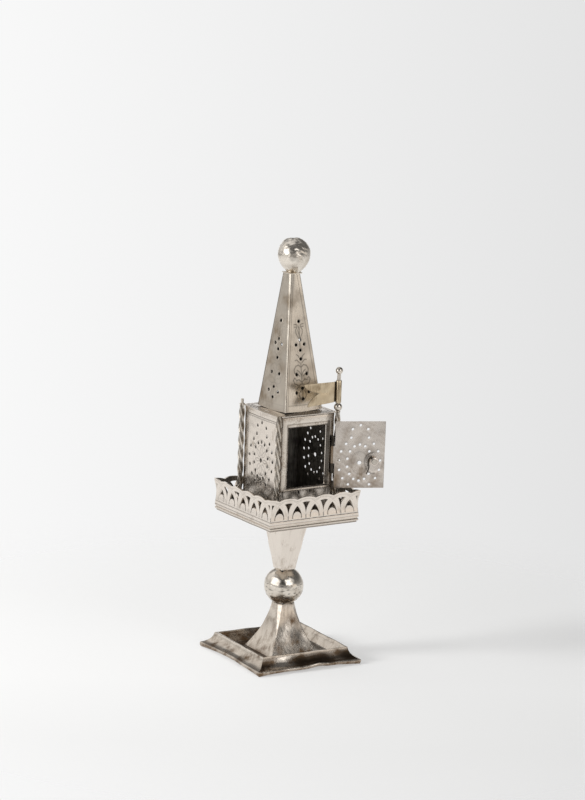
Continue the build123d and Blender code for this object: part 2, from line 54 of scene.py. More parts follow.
# %% Camera
azimuth, elevation, roll = np.radians([-33.0, 12.05, -2.0])
distance_mm, focal_px, image_long_px = 1577.0, 3079.0, 800
back = np.array([np.sin(azimuth) * np.cos(elevation), -np.cos(azimuth) * np.cos(elevation), np.sin(elevation)])
right = np.array([np.cos(azimuth), np.sin(azimuth), 0.0])
up = np.cross(back, right)
eye = 1.2 * right + np.array([0, 0, 136.0]) + back * distance_mm
axes = np.column_stack([np.cos(roll) * right - np.sin(roll) * up, np.sin(roll) * right + np.cos(roll) * up, back])
camera_data = bpy.data.cameras.new("camera")
camera_data.sensor_width = 36.0
camera_data.lens = focal_px * camera_data.sensor_width / image_long_px
camera = bpy.data.objects.new("camera", camera_data)
placed = np.eye(4)
placed[:3, :3] = axes
placed[:3, 3] = eye * MM
camera.matrix_world = Matrix(placed.tolist())
scene = bpy.context.scene
scene.collection.objects.link(camera)
scene.camera = camera
scene.view_settings.view_transform = "Standard"
print("camera lens", round(camera_data.lens, 1), "mm")

# %% [markdown]
# ## Small helpers for colours and shader nodes
# Colours are easiest to read off as sRGB hex, but a shader adds light, so it needs linear numbers. Nodes can be
# added by one helper that sets properties, plain values and links in one go. Three steps that come up again and again
# are built on it: the reach along an axis, a ramp from one range to another, and arithmetic.

# %% Helpers for materials
def linear(code):
    """sRGB hex to linear red, green, blue and alpha: below 0.04045 a straight line, above it a power of 2.4."""
    srgb = np.array([int(code[i:i + 2], 16) for i in (1, 3, 5)]) / 255
    rgb = np.where(srgb <= 0.04045, srgb / 12.92, ((srgb + 0.055) / 1.055) ** 2.4)
    return (*rgb.tolist(), 1.0)


def add_node(tree, kind, inputs=None, **settings):
    """Adds a node. A socket given as an input is linked, and anything else becomes the input's value."""
    node = tree.nodes.new(kind)
    for key, value in settings.items():
        setattr(node, key, value)
    for key, value in (inputs or {}).items():
        if isinstance(value, bpy.types.NodeSocket):
            tree.links.new(value, node.inputs[key])
        else:
            node.inputs[key].default_value = value
    return node


def new_tree(name):
    """An empty material with its node tree."""
    material = bpy.data.materials.new(name)
    material.use_nodes = True
    material.node_tree.nodes.clear()
    return material, material.node_tree


def along_axis(tree, place, axis):
    """How far a place or a heading reaches along an axis."""
    return add_node(tree, "ShaderNodeVectorMath", {0: place, 1: axis}, operation="DOT_PRODUCT").outputs["Value"]


def ramp(tree, value, start, end, low, high, blend="LINEAR"):
    """Carries a value between start and end over to low and high, and holds it there beyond them."""
    return add_node(tree, "ShaderNodeMapRange", {"Value": value, "From Min": start, "From Max": end, "To Min": low,
                                                 "To Max": high}, interpolation_type=blend).outputs["Result"]


def arithmetic(tree, operation, *values, use_clamp=False):
    """One step of arithmetic with shader values."""
    return add_node(tree, "ShaderNodeMath", dict(enumerate(values)), operation=operation,
                    use_clamp=use_clamp).outputs[0]


print("white card is", [round(c, 3) for c in linear("#f7f7f7")])

# %% [markdown]
# ## Room and table
# Polished silver shows little but its surroundings, so the room matters as much as the metal. The tower stands on a
# sheet of white paper, brighter on the left, in a room with a dark ceiling. The world gives each direction its own
# brightness, with a few soft patches, and is plain white paper to the camera itself. The paper fades out into that
# background, so that no horizon shows, and keeps the tower's soft shadow.

# %% World
world = bpy.data.worlds.new("room")
scene.world = world
world.use_nodes = True
room = world.node_tree
room.nodes.clear()
heading = add_node(room, "ShaderNodeTexCoord").outputs["Generated"]
height = add_node(room, "ShaderNodeSeparateXYZ", {0: heading}).outputs["Z"]
# The walls are grey at the table's level, and the ceiling is dark.
light_sum = ramp(room, height, -0.02, 0.42, 0.46, 0.13, blend="SMOOTHSTEP")
# Each patch has a direction, a half angle in degrees, a brightness to add and a tint.
patches = [((-0.45, 0.80, 0.40), 30, 0.75, "#fffdfa"), ((0.53, -0.845, -0.02), 19, 0.62, "#fff0df"),
           ((0.50, 0.83, -0.10), 42, 0.80, "#ffffff"), ((-0.98, 0.15, -0.1), 40, 0.25, "#ffffff"),
           ((-0.50, -0.80, 0.25), 38, -0.11, "#ffffff"), ((-0.10, 0.35, 0.93), 42, 0.85, "#ffffff"),
           ((-0.58, 0.81, -0.05), 20, -0.09, "#ffffff")]
for axis, spread, gain, colour in patches:
    facing = along_axis(room, heading, axis)
    patch = ramp(room, facing, float(np.cos(np.radians(spread))), 1.0, 0.0, gain, blend="SMOOTHSTEP")
    tint = add_node(room, "ShaderNodeVectorMath", {0: linear(colour)[:3], "Scale": patch}, operation="SCALE")
    light_sum = add_node(room, "ShaderNodeVectorMath", {0: light_sum, 1: tint.outputs["Vector"]},
                         operation="ADD").outputs["Vector"]
paper_left, paper_right, half_view = linear("#f8f8f7")[0], linear("#e4e4e4")[0], 0.095
sideways = along_axis(room, heading, right.tolist())
paper_seen = ramp(room, sideways, -half_view, half_view, paper_left, paper_right)
ray = add_node(room, "ShaderNodeLightPath").outputs
seen = arithmetic(room, "MAXIMUM", ray["Is Camera Ray"], ray["Is Transmission Ray"])
room_light = add_node(room, "ShaderNodeMix", {"Factor": seen, "A": light_sum, "B": paper_seen}, data_type="VECTOR")
background = add_node(room, "ShaderNodeBackground", {"Color": room_light.outputs["Result"], "Strength": 1.0})
add_node(room, "ShaderNodeOutputWorld", {"Surface": background.outputs[0]})
print("room patches:", len(patches))

# %% Paper floor
floor_out, floor_fade, floor_sides, floor_sunk = 900.0, 150.0, 96, 0.02
ring = np.linspace(0, 2 * np.pi, floor_sides, endpoint=False)
floor_points = np.array([np.cos(ring) * floor_out, np.sin(ring) * floor_out, 0 * ring - floor_sunk]).T
floor_mesh = bpy.data.meshes.new("paper_floor")
floor_mesh.from_pydata((floor_points * MM).tolist(), [], [list(range(floor_sides))])
floor = bpy.data.objects.new("paper_floor", floor_mesh)
scene.collection.objects.link(floor)
print("paper floor radius", floor_out, "mm")

# %% Paper
# Matt white paper: it scatters light evenly, so it shows only soft shadow.
paper, tree = new_tree("matt_white_paper")
spot = add_node(tree, "ShaderNodeTexCoord").outputs["Object"]
path = add_node(tree, "ShaderNodeLightPath").outputs
nearest_side, front_right = [-0.545, -0.839, 0.0], [0.55, -0.83, 0.0]
in_front_by = along_axis(tree, spot, nearest_side)
# The paper is brighter on the left, and a little dimmer at the near edge.
glow = ramp(tree, along_axis(tree, spot, right.tolist()), -0.16, 0.16, 0.49, 0.33)
glow = arithmetic(tree, "ADD", glow, ramp(tree, in_front_by, 0.05, 0.15, 0.0, -0.05))
# For reflections it is whiter behind and to the left, and dimmer in front on the right.
mirror_glow = ramp(tree, along_axis(tree, spot, front_right), -0.3, 0.6, 0.53, 0.42)
# The sheet is short in front: past its edge the table is dark.
table = ramp(tree, in_front_by, 0.20, 0.34, 1.0, 0.30, blend="SMOOTHSTEP")
mirror_glow = arithmetic(tree, "MULTIPLY", mirror_glow, table)
either = add_node(tree, "ShaderNodeMix", {"Factor": path["Is Glossy Ray"], "A": glow, "B": mirror_glow})
shown = arithmetic(tree, "MAXIMUM", path["Is Camera Ray"], path["Is Glossy Ray"])
shown = arithmetic(tree, "MAXIMUM", shown, path["Is Transmission Ray"])
strength = arithmetic(tree, "MULTIPLY", shown, either.outputs["Result"])
lit = add_node(tree, "ShaderNodeBsdfDiffuse", {"Color": linear("#c0c0bf")})
lamp_free = add_node(tree, "ShaderNodeEmission", {"Color": linear("#ffffff"), "Strength": strength})
both = add_node(tree, "ShaderNodeAddShader", {0: lit.outputs[0], 1: lamp_free.outputs[0]})
# Far from the tower it fades into the background.
far_off = add_node(tree, "ShaderNodeVectorMath", {0: spot}, operation="LENGTH").outputs["Value"]
fade = ramp(tree, far_off, floor_fade * MM, 2 * floor_fade * MM, 0.0, 1.0, blend="SMOOTHSTEP")
fade = arithmetic(tree, "MULTIPLY", fade, path["Is Camera Ray"])
clear = add_node(tree, "ShaderNodeBsdfTransparent")
whole = add_node(tree, "ShaderNodeMixShader", {"Fac": fade, 1: both.outputs[0], 2: clear.outputs[0]})
add_node(tree, "ShaderNodeOutputMaterial", {"Surface": whole.outputs[0]})
floor_mesh.materials.append(paper)
print("paper fades out from", floor_fade, "mm")

# %% [markdown]
# ## Two softboxes
# The two square highlights on the knop tell where the lamps stood: one straight to the tower's left and one straight
# in front of its door, both a little above it. Area lamps of the same angular size give the same highlights.

# %% Softboxes
def bearing(side, rise):
    """Direction of a lamp, from its degrees round the tower, counted from the door, and its degrees of height."""
    a, e = np.radians([side, rise])
    return np.array([np.sin(a) * np.cos(e), -np.cos(a) * np.cos(e), np.sin(e)])


# Each softbox has its degrees round and above, then its distance, width and height in metres, and its radiance.
softboxes = [("softbox_left", -95.0, 20.0, 0.95, 0.92, 0.66, 1.85),
             ("softbox_front", 6.0, 27.0, 0.95, 0.62, 0.58, 2.0)]
aim = np.array([0, 0, 0.1])
for name, side, rise, far, wide, tall, radiance in softboxes:
    lamp = bpy.data.lights.new(name, "AREA")
    lamp.shape = "RECTANGLE"
    lamp.size, lamp.size_y = wide, tall
    lamp.energy = radiance * np.pi * wide * tall
    holder = bpy.data.objects.new(name, lamp)
    out, a = bearing(side, rise), np.radians(side)
    level = np.array([np.cos(a), np.sin(a), 0.0])
    stood = np.eye(4)
    stood[:3, :3] = np.column_stack([level, np.cross(out, level), out])
    stood[:3, 3] = out * far + aim
    holder.matrix_world = Matrix(stood.tolist())
    holder.visible_camera = False
    scene.collection.objects.link(holder)
    print(name, "power", round(lamp.energy, 2), "W")

# %% [markdown]
# ## Shadow along the paper
# The left softbox throws a faint shadow along the paper to the right. The room's even light washes it out, so one more
# low lamp from that side shines on the paper alone.

# %% Paper lamp
paper_lamp_side, paper_lamp_rise, paper_lamp_spread = -105.0, 22.0, 16.0
paper_lamp = bpy.data.lights.new("paper_lamp", "SUN")
paper_lamp.energy, paper_lamp.angle = 2.2, np.radians(paper_lamp_spread)
paper_holder = bpy.data.objects.new("paper_lamp", paper_lamp)
out = Vector(bearing(paper_lamp_side, paper_lamp_rise).tolist())
paper_holder.matrix_world = out.to_track_quat("Z", "Y").to_matrix().to_4x4()
lit_paper = bpy.data.collections.new("lit_paper")
lit_paper.objects.link(floor)
paper_holder.light_linking.receiver_collection = lit_paper
scene.collection.objects.link(paper_holder)
print("paper lamp rises", paper_lamp_rise, "degrees")

# %% [markdown]
# ## Silver finishes
# Old silver is never one colour. The clean metal is pale and slightly warm, sulphur in the air lays brown and grey
# films on it in blotches, rubbing leaves fine streaks, and soot stays in engraved lines. One function builds that
# story with different amounts: noise gives the blotches, the pieces' own `tarnish_and_shade` and `engraving_and_shade`
# attributes say where more film or soot lies, and on some pieces where shade and dark reflections are painted in the
# same colours, and stretched noise gives the streaks. Metals keep the default IOR.

# %% Silver finish
# Near-black soot for engraved lines; the same colour also paints shade on some pieces.
SOOT_AND_SHADE = "#1c1814"


def silver_finish(name, clean, film_and_shade, rough, film_from, film_to, blotch_mm, streak=(1.0, 1.0, 0.1), streak_mm=0.5,
                  streak_depth_mm=0.005, dent_mm=5.0, dent_depth_mm=0.06, streak_share=0.35, soot_and_shade=SOOT_AND_SHADE):
    """Clean colour turns to film as blotch noise goes from film_from to film_to, then to soot and painted shade."""
    material, tree = new_tree(name)
    spot = add_node(tree, "ShaderNodeTexCoord").outputs["Object"]
    blotch = add_node(tree, "ShaderNodeTexNoise", {"Vector": spot, "Scale": 1 / (blotch_mm * MM), "Detail": 3.0,
                                                   "Roughness": 0.55}).outputs["Fac"]
    # The tarnish attribute gives film, and on some pieces painted shade as well.
    worn = add_node(tree, "ShaderNodeAttribute", attribute_name="tarnish_and_shade").outputs["Fac"]
    stretched = add_node(tree, "ShaderNodeMapping", {"Vector": spot, "Scale": streak})
    rubbed = add_node(tree, "ShaderNodeTexNoise", {"Vector": stretched.outputs[0], "Scale": 1 / (streak_mm * MM),
                                                   "Detail": 1.5}).outputs["Fac"]
    streaked = add_node(tree, "ShaderNodeMix", {"Factor": streak_share, "A": blotch, "B": rubbed}).outputs["Result"]
    extra = arithmetic(tree, "ADD", streaked, 0.5)
    patch = ramp(tree, streaked, film_from, film_to, 0.0, 1.0)
    film_and_shade_amount = arithmetic(tree, "MULTIPLY_ADD", worn, extra, patch, use_clamp=True)
    tone = add_node(tree, "ShaderNodeMix", {"Factor": film_and_shade_amount, "A": linear(clean), "B": linear(film_and_shade)},
                    data_type="RGBA", clamp_factor=True)
    # The engraving attribute gives soot, and on some pieces painted shade and dark reflections as well.
    cut = add_node(tree, "ShaderNodeAttribute", attribute_name="engraving_and_shade").outputs["Fac"]
    colour = add_node(tree, "ShaderNodeMix", {"Factor": cut, "A": tone.outputs["Result"], "B": linear(soot_and_shade)},
                      data_type="RGBA", clamp_factor=True)
    # Film dulls the metal as well as colouring it.
    gloss = arithmetic(tree, "MULTIPLY_ADD", film_and_shade_amount, 0.14, ramp(tree, rubbed, 0.3, 0.7, *rough))
    dents = add_node(tree, "ShaderNodeTexNoise", {"Vector": spot, "Scale": 1 / (dent_mm * MM), "Detail": 2.0})
    hammered = add_node(tree, "ShaderNodeBump", {"Height": dents.outputs["Fac"], "Distance": dent_depth_mm * MM})
    scratched = add_node(tree, "ShaderNodeBump", {"Height": rubbed, "Distance": streak_depth_mm * MM,
                                                  "Normal": hammered.outputs[0]})
    metal = add_node(tree, "ShaderNodeBsdfPrincipled", {"Base Color": colour.outputs["Result"], "Metallic": 1.0,
                                                        "Roughness": gloss, "Normal": scratched.outputs[0]})
    add_node(tree, "ShaderNodeOutputMaterial", {"Surface": metal.outputs[0]})
    return material


print("soot, in linear colour:", [round(c, 3) for c in linear(SOOT_AND_SHADE)])

# %% Finishes of the pieces
# Rolled silver sheet, rubbed up and down when cleaned: pale, satin, faint brown film.
rolled_sheet = silver_finish("rolled_silver_sheet", "#e0d7cd", "#93836f", (0.19, 0.26), 0.58, 0.82, 9.0,
                             streak_depth_mm=0.0012, dent_depth_mm=0.05)
# Thin hammered sheet of the spire, with a greyer, browner film over much of it.
spire_sheet = silver_finish("hammered_spire_silver", "#dcd3c6", "#8f806e", (0.24, 0.34), 0.52, 0.80, 12.0,
                            dent_mm=8.0, dent_depth_mm=0.07, streak_share=0.15, streak_depth_mm=0.002)
# Door sheet: grey and handled, browner by the hinge.
door_sheet = silver_finish("handled_door_silver", "#dcd3ca", "#8a7763", (0.20, 0.33), 0.58, 0.86, 12.0,
                           streak=(1.0, 1.0, 0.3), streak_mm=0.9)
# Twisted bar and drawn wire, dark in the hollows.
twisted_bar = silver_finish("twisted_silver_bar", "#d6cec3", "#6f6252", (0.16, 0.28), 0.48, 0.75, 6.0,
                            streak=(1.0, 1.0, 1.0))
# Moulded strip of the door frame, brown where no cloth reaches, and painted darker on the hinge side as shadow.
moulded = silver_finish("moulded_frame_silver", "#d9d0c5", "#7d6c58", (0.18, 0.30), 0.50, 0.78, 7.0,
                        streak=(1.0, 1.0, 1.0), streak_mm=0.9)
# Raised balls, burnished but pitted.
burnished = silver_finish("burnished_silver_ball", "#dad2c7", "#7b6c58", (0.16, 0.26), 0.54, 0.86, 5.0,
                          streak=(1.0, 1.0, 1.0), streak_mm=0.7, dent_mm=3.2, dent_depth_mm=0.08, streak_share=0.15)
# The finial ball is battered, so its shine is softer than the knop's.
battered = silver_finish("battered_finial_silver", "#dfd7cc", "#7b6c58", (0.23, 0.33), 0.58, 0.90, 5.0,
                         streak=(1.0, 1.0, 1.0), streak_mm=0.7, dent_mm=3.2, dent_depth_mm=0.08, streak_share=0.15)
# Floor of the tray, out of reach of the polishing cloth: dull and even.
dull_tray = silver_finish("dull_tray_silver", "#ddd4c9", "#8c7c69", (0.42, 0.55), 0.55, 0.85, 9.0)
# Foot and pedestal, handled least and tarnished most; their attributes also paint shade and dark reflections.
tarnished = silver_finish("tarnished_foot_silver", "#d2c8bc", "#705c48", (0.15, 0.24), 0.48, 0.78, 6.0,
                          streak=(1.0, 1.0, 0.2), streak_mm=1.1, dent_mm=5.5, dent_depth_mm=0.10, streak_share=0.15)
# The flag's plate kept a yellow lacquer-like film.
yellowed = silver_finish("yellowed_flag_silver", "#cbbba0", "#88745a", (0.24, 0.38), 0.50, 0.78, 5.0)
# Inside of the spire and the hinge: black, and never polished. The latch hook's black is painted shade.
blackened_and_shade = silver_finish("blackened_silver_and_shade", "#6b645b", "#2c2823", (0.45, 0.62), 0.35, 0.65, 6.0)
# Inside of the chamber and the gallery: dull grey, smoked by years of spices.
smoked = silver_finish("smoked_chamber_silver", "#b2aca3", "#706b64", (0.50, 0.65), 0.35, 0.65, 6.0)
finishes = [rolled_sheet, spire_sheet, door_sheet, moulded, twisted_bar, burnished, battered, dull_tray, tarnished,
            yellowed, blackened_and_shade, smoked]
print("finishes:", ", ".join(m.name for m in finishes))

# %% Finishes for the solids that stay in view
plain_finish = {"foot": tarnished, "pedestal": tarnished, "knop": burnished, "stem": rolled_sheet, "tray": dull_tray,
                "gallery": rolled_sheet, "box": rolled_sheet, "door": door_sheet, "corner": twisted_bar,
                "roof": rolled_sheet, "spire": spire_sheet, "finial": burnished, "flag": yellowed,
                "hinge": blackened_and_shade, "latch": twisted_bar}
for node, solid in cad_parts.items():
    solid.data.materials.clear()
    solid.data.materials.append(twisted_bar if "pole" in node else plain_finish[node.split("_")[0]])
print("finished solids:", len(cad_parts))

# %% [markdown]
# ## Tools for sheet metal
# A pierced panel could be cut with booleans, but a grid of points is easier to control: each point knows its distance
# to the nearest saw cut, squares that fall in a hole are left out, and the points beside the hole are pulled onto its
# edge. The sheet then gets a back and a rim, so that it has the real thickness.

# %% Grids and sheets
def grid_faces(rows, cols, wrap=False, keep=None):
    """Squares of a grid of points numbered row by row, with the last column joined to the first when it wraps."""
    r, c = np.arange(rows - 1)[:, None], np.arange(cols if wrap else cols - 1)[None, :]
    after = (c + 1) % cols
    squares = np.stack([r * cols + c, r * cols + after, (r + 1) * cols + after, (r + 1) * cols + c], axis=-1)
    return squares[keep] if keep is not None else squares.reshape(-1, 4)


def ring_faces(points):
    """Squares between the closed rings of a grid of points."""
    return grid_faces(*points.shape[:2], wrap=True)


def thicken(outer, inner, keep=None):
    """A sheet's outer face, its inner face turned over, and a strip of squares along every edge that one face has."""
    faces, count = grid_faces(*outer.shape[:2], keep=keep), outer[..., 0].size
    edges = np.stack([faces, np.roll(faces, -1, axis=1)], axis=-1).reshape(-1, 2)
    ordered = np.sort(edges, axis=1).astype(np.int64)
    _, first, uses = np.unique(ordered[:, 0] * count + ordered[:, 1], return_index=True, return_counts=True)
    rim = edges[first[uses == 1]]
    strip = np.stack([rim[:, 1], rim[:, 0], rim[:, 0] + count, rim[:, 1] + count], axis=1)
    back_face = np.repeat([0, 1, 0], [len(faces), len(faces), len(strip)])
    points = np.vstack([outer.reshape(-1, 3), inner.reshape(-1, 3)])
    return points, np.vstack([faces, faces[:, ::-1] + count, strip]), back_face


print("squares in a grid of 3 by 4 points:", len(grid_faces(3, 4)))

# %% Seating a piece
WELD, SLIVER = 2e-6, 1e-7


def put_piece(name, points, faces, finish, replaced=(), body="tower", values=None, back_face=None,
              inside=None, sharp=35.0, merge=False):
    """Makes a mesh piece from points in millimetres and squares, with point values as attributes, and seats it."""
    points, faces = np.asarray(points, float).reshape(-1, 3), np.asarray(faces)
    used = np.unique(faces)
    number = np.zeros(len(points), np.int64)
    number[used] = np.arange(len(used))
    corners = number[faces].astype(np.int32)
    mesh = bpy.data.meshes.new(name)
    mesh.vertices.add(len(used))
    mesh.vertices.foreach_set("co", (points[used] * MM).astype(np.float32).ravel())
    mesh.loops.add(corners.size)
    mesh.loops.foreach_set("vertex_index", corners.ravel())
    mesh.polygons.add(len(corners))
    mesh.polygons.foreach_set("loop_start", np.arange(0, corners.size, 4, dtype=np.int32))
    if back_face is not None and inside is not None:
        mesh.polygons.foreach_set("material_index", back_face.astype(np.int32))
    mesh.update(calc_edges=True)
    for key, value in (values or {}).items():
        full = np.resize(np.asarray(value, float).ravel(), len(points))
        mesh.attributes.new(key, "FLOAT", "POINT").data.foreach_set("value", full[used].astype(np.float32))
    if merge:
        bm = bmesh.new()
        bm.from_mesh(mesh)
        bmesh.ops.remove_doubles(bm, verts=bm.verts, dist=WELD)
        bmesh.ops.dissolve_degenerate(bm, edges=bm.edges, dist=SLIVER)
        bm.to_mesh(mesh)
        bm.free()
    mesh.polygons.foreach_set("use_smooth", np.ones(len(mesh.polygons), bool))
    mesh.set_sharp_from_angle(angle=float(np.radians(sharp)))
    mesh.materials.append(finish)
    if inside is not None:
        mesh.materials.append(inside)
    piece = bpy.data.objects.new(name, mesh)
    scene.collection.objects.link(piece)
    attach(piece, body)
    if replaced:
        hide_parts(*replaced)
    print(name, len(mesh.polygons), "faces")
    return piece


print("points closer than", WELD / MM, "mm are welded")

# %% Sides and unevenness
SIDES = ["front", "right", "back", "left"]


def to_side(points, side):
    """Points made for the front, which faces -Y, turned about the tower's axis by quarter turns to another side."""
    a = SIDES.index(side) * np.pi / 2
    c, s = np.round(np.cos(a)), np.round(np.sin(a))
    return np.asarray(points) @ np.array([[c, s, 0], [-s, c, 0], [0, 0, 1]])


def yawed(points, degrees):
    """Points turned about the tower's axis, clockwise from above for a negative angle."""
    c, s = np.cos(np.radians(degrees)), np.sin(np.radians(degrees))
    return points @ np.array([[c, s, 0], [-s, c, 0], [0, 0, 1]])


def ripple(a, b, wave_mm, seed, waves=9):
    """Soft unevenness about -1 to 1: sine waves near wave_mm long, added with seeded directions and phases."""
    rng = np.random.default_rng(seed)
    total = 0.0
    for turn, phase, stretch in rng.uniform([0, 0, 0.7], [2 * np.pi, 2 * np.pi, 1.5], (waves, 3)):
        k = 2 * np.pi / (wave_mm * stretch)
        total = total + np.sin(k * (np.cos(turn) * a + np.sin(turn) * b) + phase)
    return total / np.sqrt(waves) / 1.4


print("sides:", ", ".join(SIDES))

# %% Lines and saw cuts
def line_distance(x, z, *paths):
    """Distance from every grid point to the nearest of some polylines, each taken segment by segment."""
    best = np.full(np.shape(x), 1e9)
    for path in paths:
        for (x0, z0), (x1, z1) in zip(path[:-1], path[1:]):
            dx, dz = x1 - x0, z1 - z0
            t = np.clip(((x - x0) * dx + (z - z0) * dz) / (dx * dx + dz * dz + 1e-12), 0, 1)
            best = np.minimum(best, np.hypot(x - x0 - t * dx, z - z0 - t * dz))
    return best


def bell(gap, width):
    """Bell curve, for a graver's groove, a soft dent or a patch: 1 in the middle, falling off over its width."""
    return np.exp(-(gap / width) ** 2)


def arc(cx, cz, rx, rz, start, end, steps=24):
    """Points of an elliptic arc, its angles in degrees measured from the top, clockwise."""
    a = np.radians(np.linspace(start, end, steps))
    return np.column_stack([cx + rx * np.sin(a), cz + rz * np.cos(a)])


def pierced(gx, gz, metal_depth, step):
    """Keeps the squares whose corners lie in metal, and slides corners beside a cut onto it along its gradient."""
    depth = metal_depth(gx, gz)
    solid = depth > -0.35 * step
    keep = solid[:-1, :-1] & solid[:-1, 1:] & solid[1:, 1:] & solid[1:, :-1]
    shared = np.zeros(gx.shape)
    for rows in (slice(None, -1), slice(1, None)):
        for cols in (slice(None, -1), slice(1, None)):
            shared[rows, cols] += keep
    beside = (shared > 0) & (shared < 4) & (np.abs(depth) < 1.3 * step)
    e = 0.02
    slope_x = (metal_depth(gx + e, gz) - metal_depth(gx - e, gz)) / (2 * e)
    slope_z = (metal_depth(gx, gz + e) - metal_depth(gx, gz - e)) / (2 * e)
    move = np.where(beside, depth / np.maximum(slope_x ** 2 + slope_z ** 2, 0.3), 0.0)
    return gx - move * slope_x, gz - move * slope_z, keep, depth


print("shape helpers ready")

# %% [markdown]
# ## Gallery
# The railing round the tray is sawn from four strips of sheet: pointed arches with a tongue in each, drop-shaped
# holes between them, and a scalloped top. Graver lines follow the arches, cross above them and run along the edge.
# The grid follows the scallops at its top, and the saw cuts are told by their distance. Years of handling have bent
# the top edge out and the middle in, so the strip's place is a curve up its height.

# %% Gallery pattern
gallery_half, gallery_base, gallery_wall, pitch = 26.9, 77.642, 0.7, 10.76
bays, bay_steps = 5, 48
lobe_top, lobe_drop = 91.742, 1.1
lobe_radius = ((pitch / 2) ** 2 + lobe_drop ** 2) / (2 * lobe_drop)
spring, arch_radius, arch_shift, arch_top = 80.842, 8.51, 5.61, 87.242
tongue_radius, tongue_lift = 2.559, 0.741
drop_top, drop_half, drop_tip, corner_rib = 88.842, 2.25, 82.642, 0.8
drop_arc_x, drop_arc_z, drop_arc_radius = 10.07, 82.496, 10.071


def bay_offset(x, start):
    """Distance along the strip from the nearest repeat of the pattern, which starts at the given share of a bay."""
    return (x + gallery_half + pitch * (0.5 - start)) % pitch - pitch / 2


def scallop(x):
    """Height of the scalloped edge: circle arcs that peak between the arches."""
    return lobe_top - lobe_radius + np.sqrt(lobe_radius ** 2 - bay_offset(x, 0.0) ** 2)


def gallery_depth(x, z):
    """Depth of metal beside the cuts: less than zero in an arch outside its tongue, and in a drop between arches."""
    u, w = bay_offset(x, 0.5), np.abs(bay_offset(x, 0.0))
    arch = np.minimum(arch_radius - np.hypot(np.abs(u) + arch_shift, z - spring), z - spring)
    tongue = tongue_radius - np.hypot(u, z - spring - tongue_lift)
    drop = np.minimum(np.hypot(w - drop_arc_x, z - drop_arc_z) - drop_arc_radius, z - drop_tip)
    drop = np.minimum(drop, drop_top + 0.3 - 0.3 * (w / drop_half) ** 2 - z)
    drop = np.minimum(drop, gallery_half - corner_rib - np.abs(x))
    return -np.maximum(np.minimum(arch, -tongue), drop)


def gallery_lines(x, z):
    """Graver lines: along the foot, up from each drop, round each arch so that neighbours cross, and by the edge."""
    u, w = bay_offset(x, 0.5), np.abs(bay_offset(x, 0.0))
    lines = bell(z - (spring - 0.75), 0.16)
    lines = np.maximum(lines, bell(z - (gallery_base + 0.75), 0.16) * 0.8)
    lines = np.maximum(lines, bell(w, 0.15) * (z < drop_tip) * (z > spring - 0.8))
    round_arch = np.abs(np.hypot(np.abs(u) + arch_shift, z - spring) - arch_radius - 1.15)
    crossing = np.abs(np.hypot(np.abs(u) - arch_shift, z - spring) - arch_radius - 1.15)
    lines = np.maximum(lines, 0.35 * bell(round_arch, 0.12) * (z > drop_top - 2.0))
    lines = np.maximum(lines, bell(crossing, 0.12) * 0.6 * (z > arch_top - 0.2) * (np.abs(u) < 2.4))
    return np.maximum(lines, bell(scallop(x) - z - 1.0, 0.12) * 0.6)


print("bays on each side:", bays)

# %% Gallery panels
bend_in, bend_out = 0.45, 0.50
cols, rows = bays * bay_steps + 1, 65
strip_x, strip_v = np.meshgrid(np.linspace(-gallery_half, gallery_half, cols), np.linspace(0, 1, rows))
for seed, side in enumerate(SIDES):
    strip_z = gallery_base + strip_v * (scallop(strip_x) - gallery_base)
    px, pz, keep, depth = pierced(strip_x, strip_z, gallery_depth, pitch / bay_steps)
    v = (pz - gallery_base) / (lobe_top - gallery_base)
    bend = bend_out * np.clip((v - 0.62) / 0.38, 0, 1) ** 1.5 - bend_in * np.sin(np.pi * np.clip(v / 0.95, 0, 1)) ** 2
    middle = 1 - (px / gallery_half) ** 4
    lines = gallery_lines(px, pz)
    out = gallery_half + bend + middle * v * 0.28 * ripple(px, pz, 26, seed + 11)
    out = out + 0.05 * ripple(px, pz, 5, seed + 21) * middle * v
    stretch = 1 + bend / gallery_half
    outer = np.stack([px * stretch, -(out - 0.13 * lines), pz], axis=-1)
    inner = np.stack([px * stretch * (1 - gallery_wall / gallery_half), -(out - gallery_wall), pz], axis=-1)
    points, faces, back_face = thicken(outer, inner, keep)
    soot_and_shade = 0.62 * lines + 0.25 * bell(depth, 0.18)
    film_and_shade = 0.25 * np.exp(-(pz - gallery_base) / 1.2) - 0.10 + 0.18 * ripple(px, pz, 9, seed + 31)
    put_piece("pierced_gallery_" + side, to_side(points, side), faces, rolled_sheet, ["gallery_" + side],
              values={"engraving_and_shade": np.clip(soot_and_shade, 0, 0.8), "tarnish_and_shade": np.clip(film_and_shade, 0, 1)}, back_face=back_face,
              inside=smoked)

# %% [markdown]
# ## Tray edge
# Under the gallery runs a strip of drawn moulding with a rounded upper edge, mitred at the corners. A profile carried
# round a square gives it in one go: each profile point has a distance from the axis and a height.

# %% Tray moulding
def square_loop(along):
    """Points round a square that reaches to 1 on each side, as many along each side as asked for, less one."""
    t = np.linspace(-1, 1, along)[:-1]
    edge = np.column_stack([t, -np.ones_like(t)])
    return np.vstack([edge, edge @ [[0, 1], [-1, 0]], -edge, edge @ [[0, -1], [1, 0]]])


def square_sweep(reach, heights, along):
    """A profile carried round a square: at each corner the reach counts for both axes, so the mitres meet."""
    loop, reach, heights = square_loop(along), np.asarray(reach, float), np.asarray(heights, float)
    tall = np.broadcast_to(heights[:, None, None], (len(reach), len(loop), 1))
    return np.concatenate([loop * reach[:, None, None], tall], axis=-1)


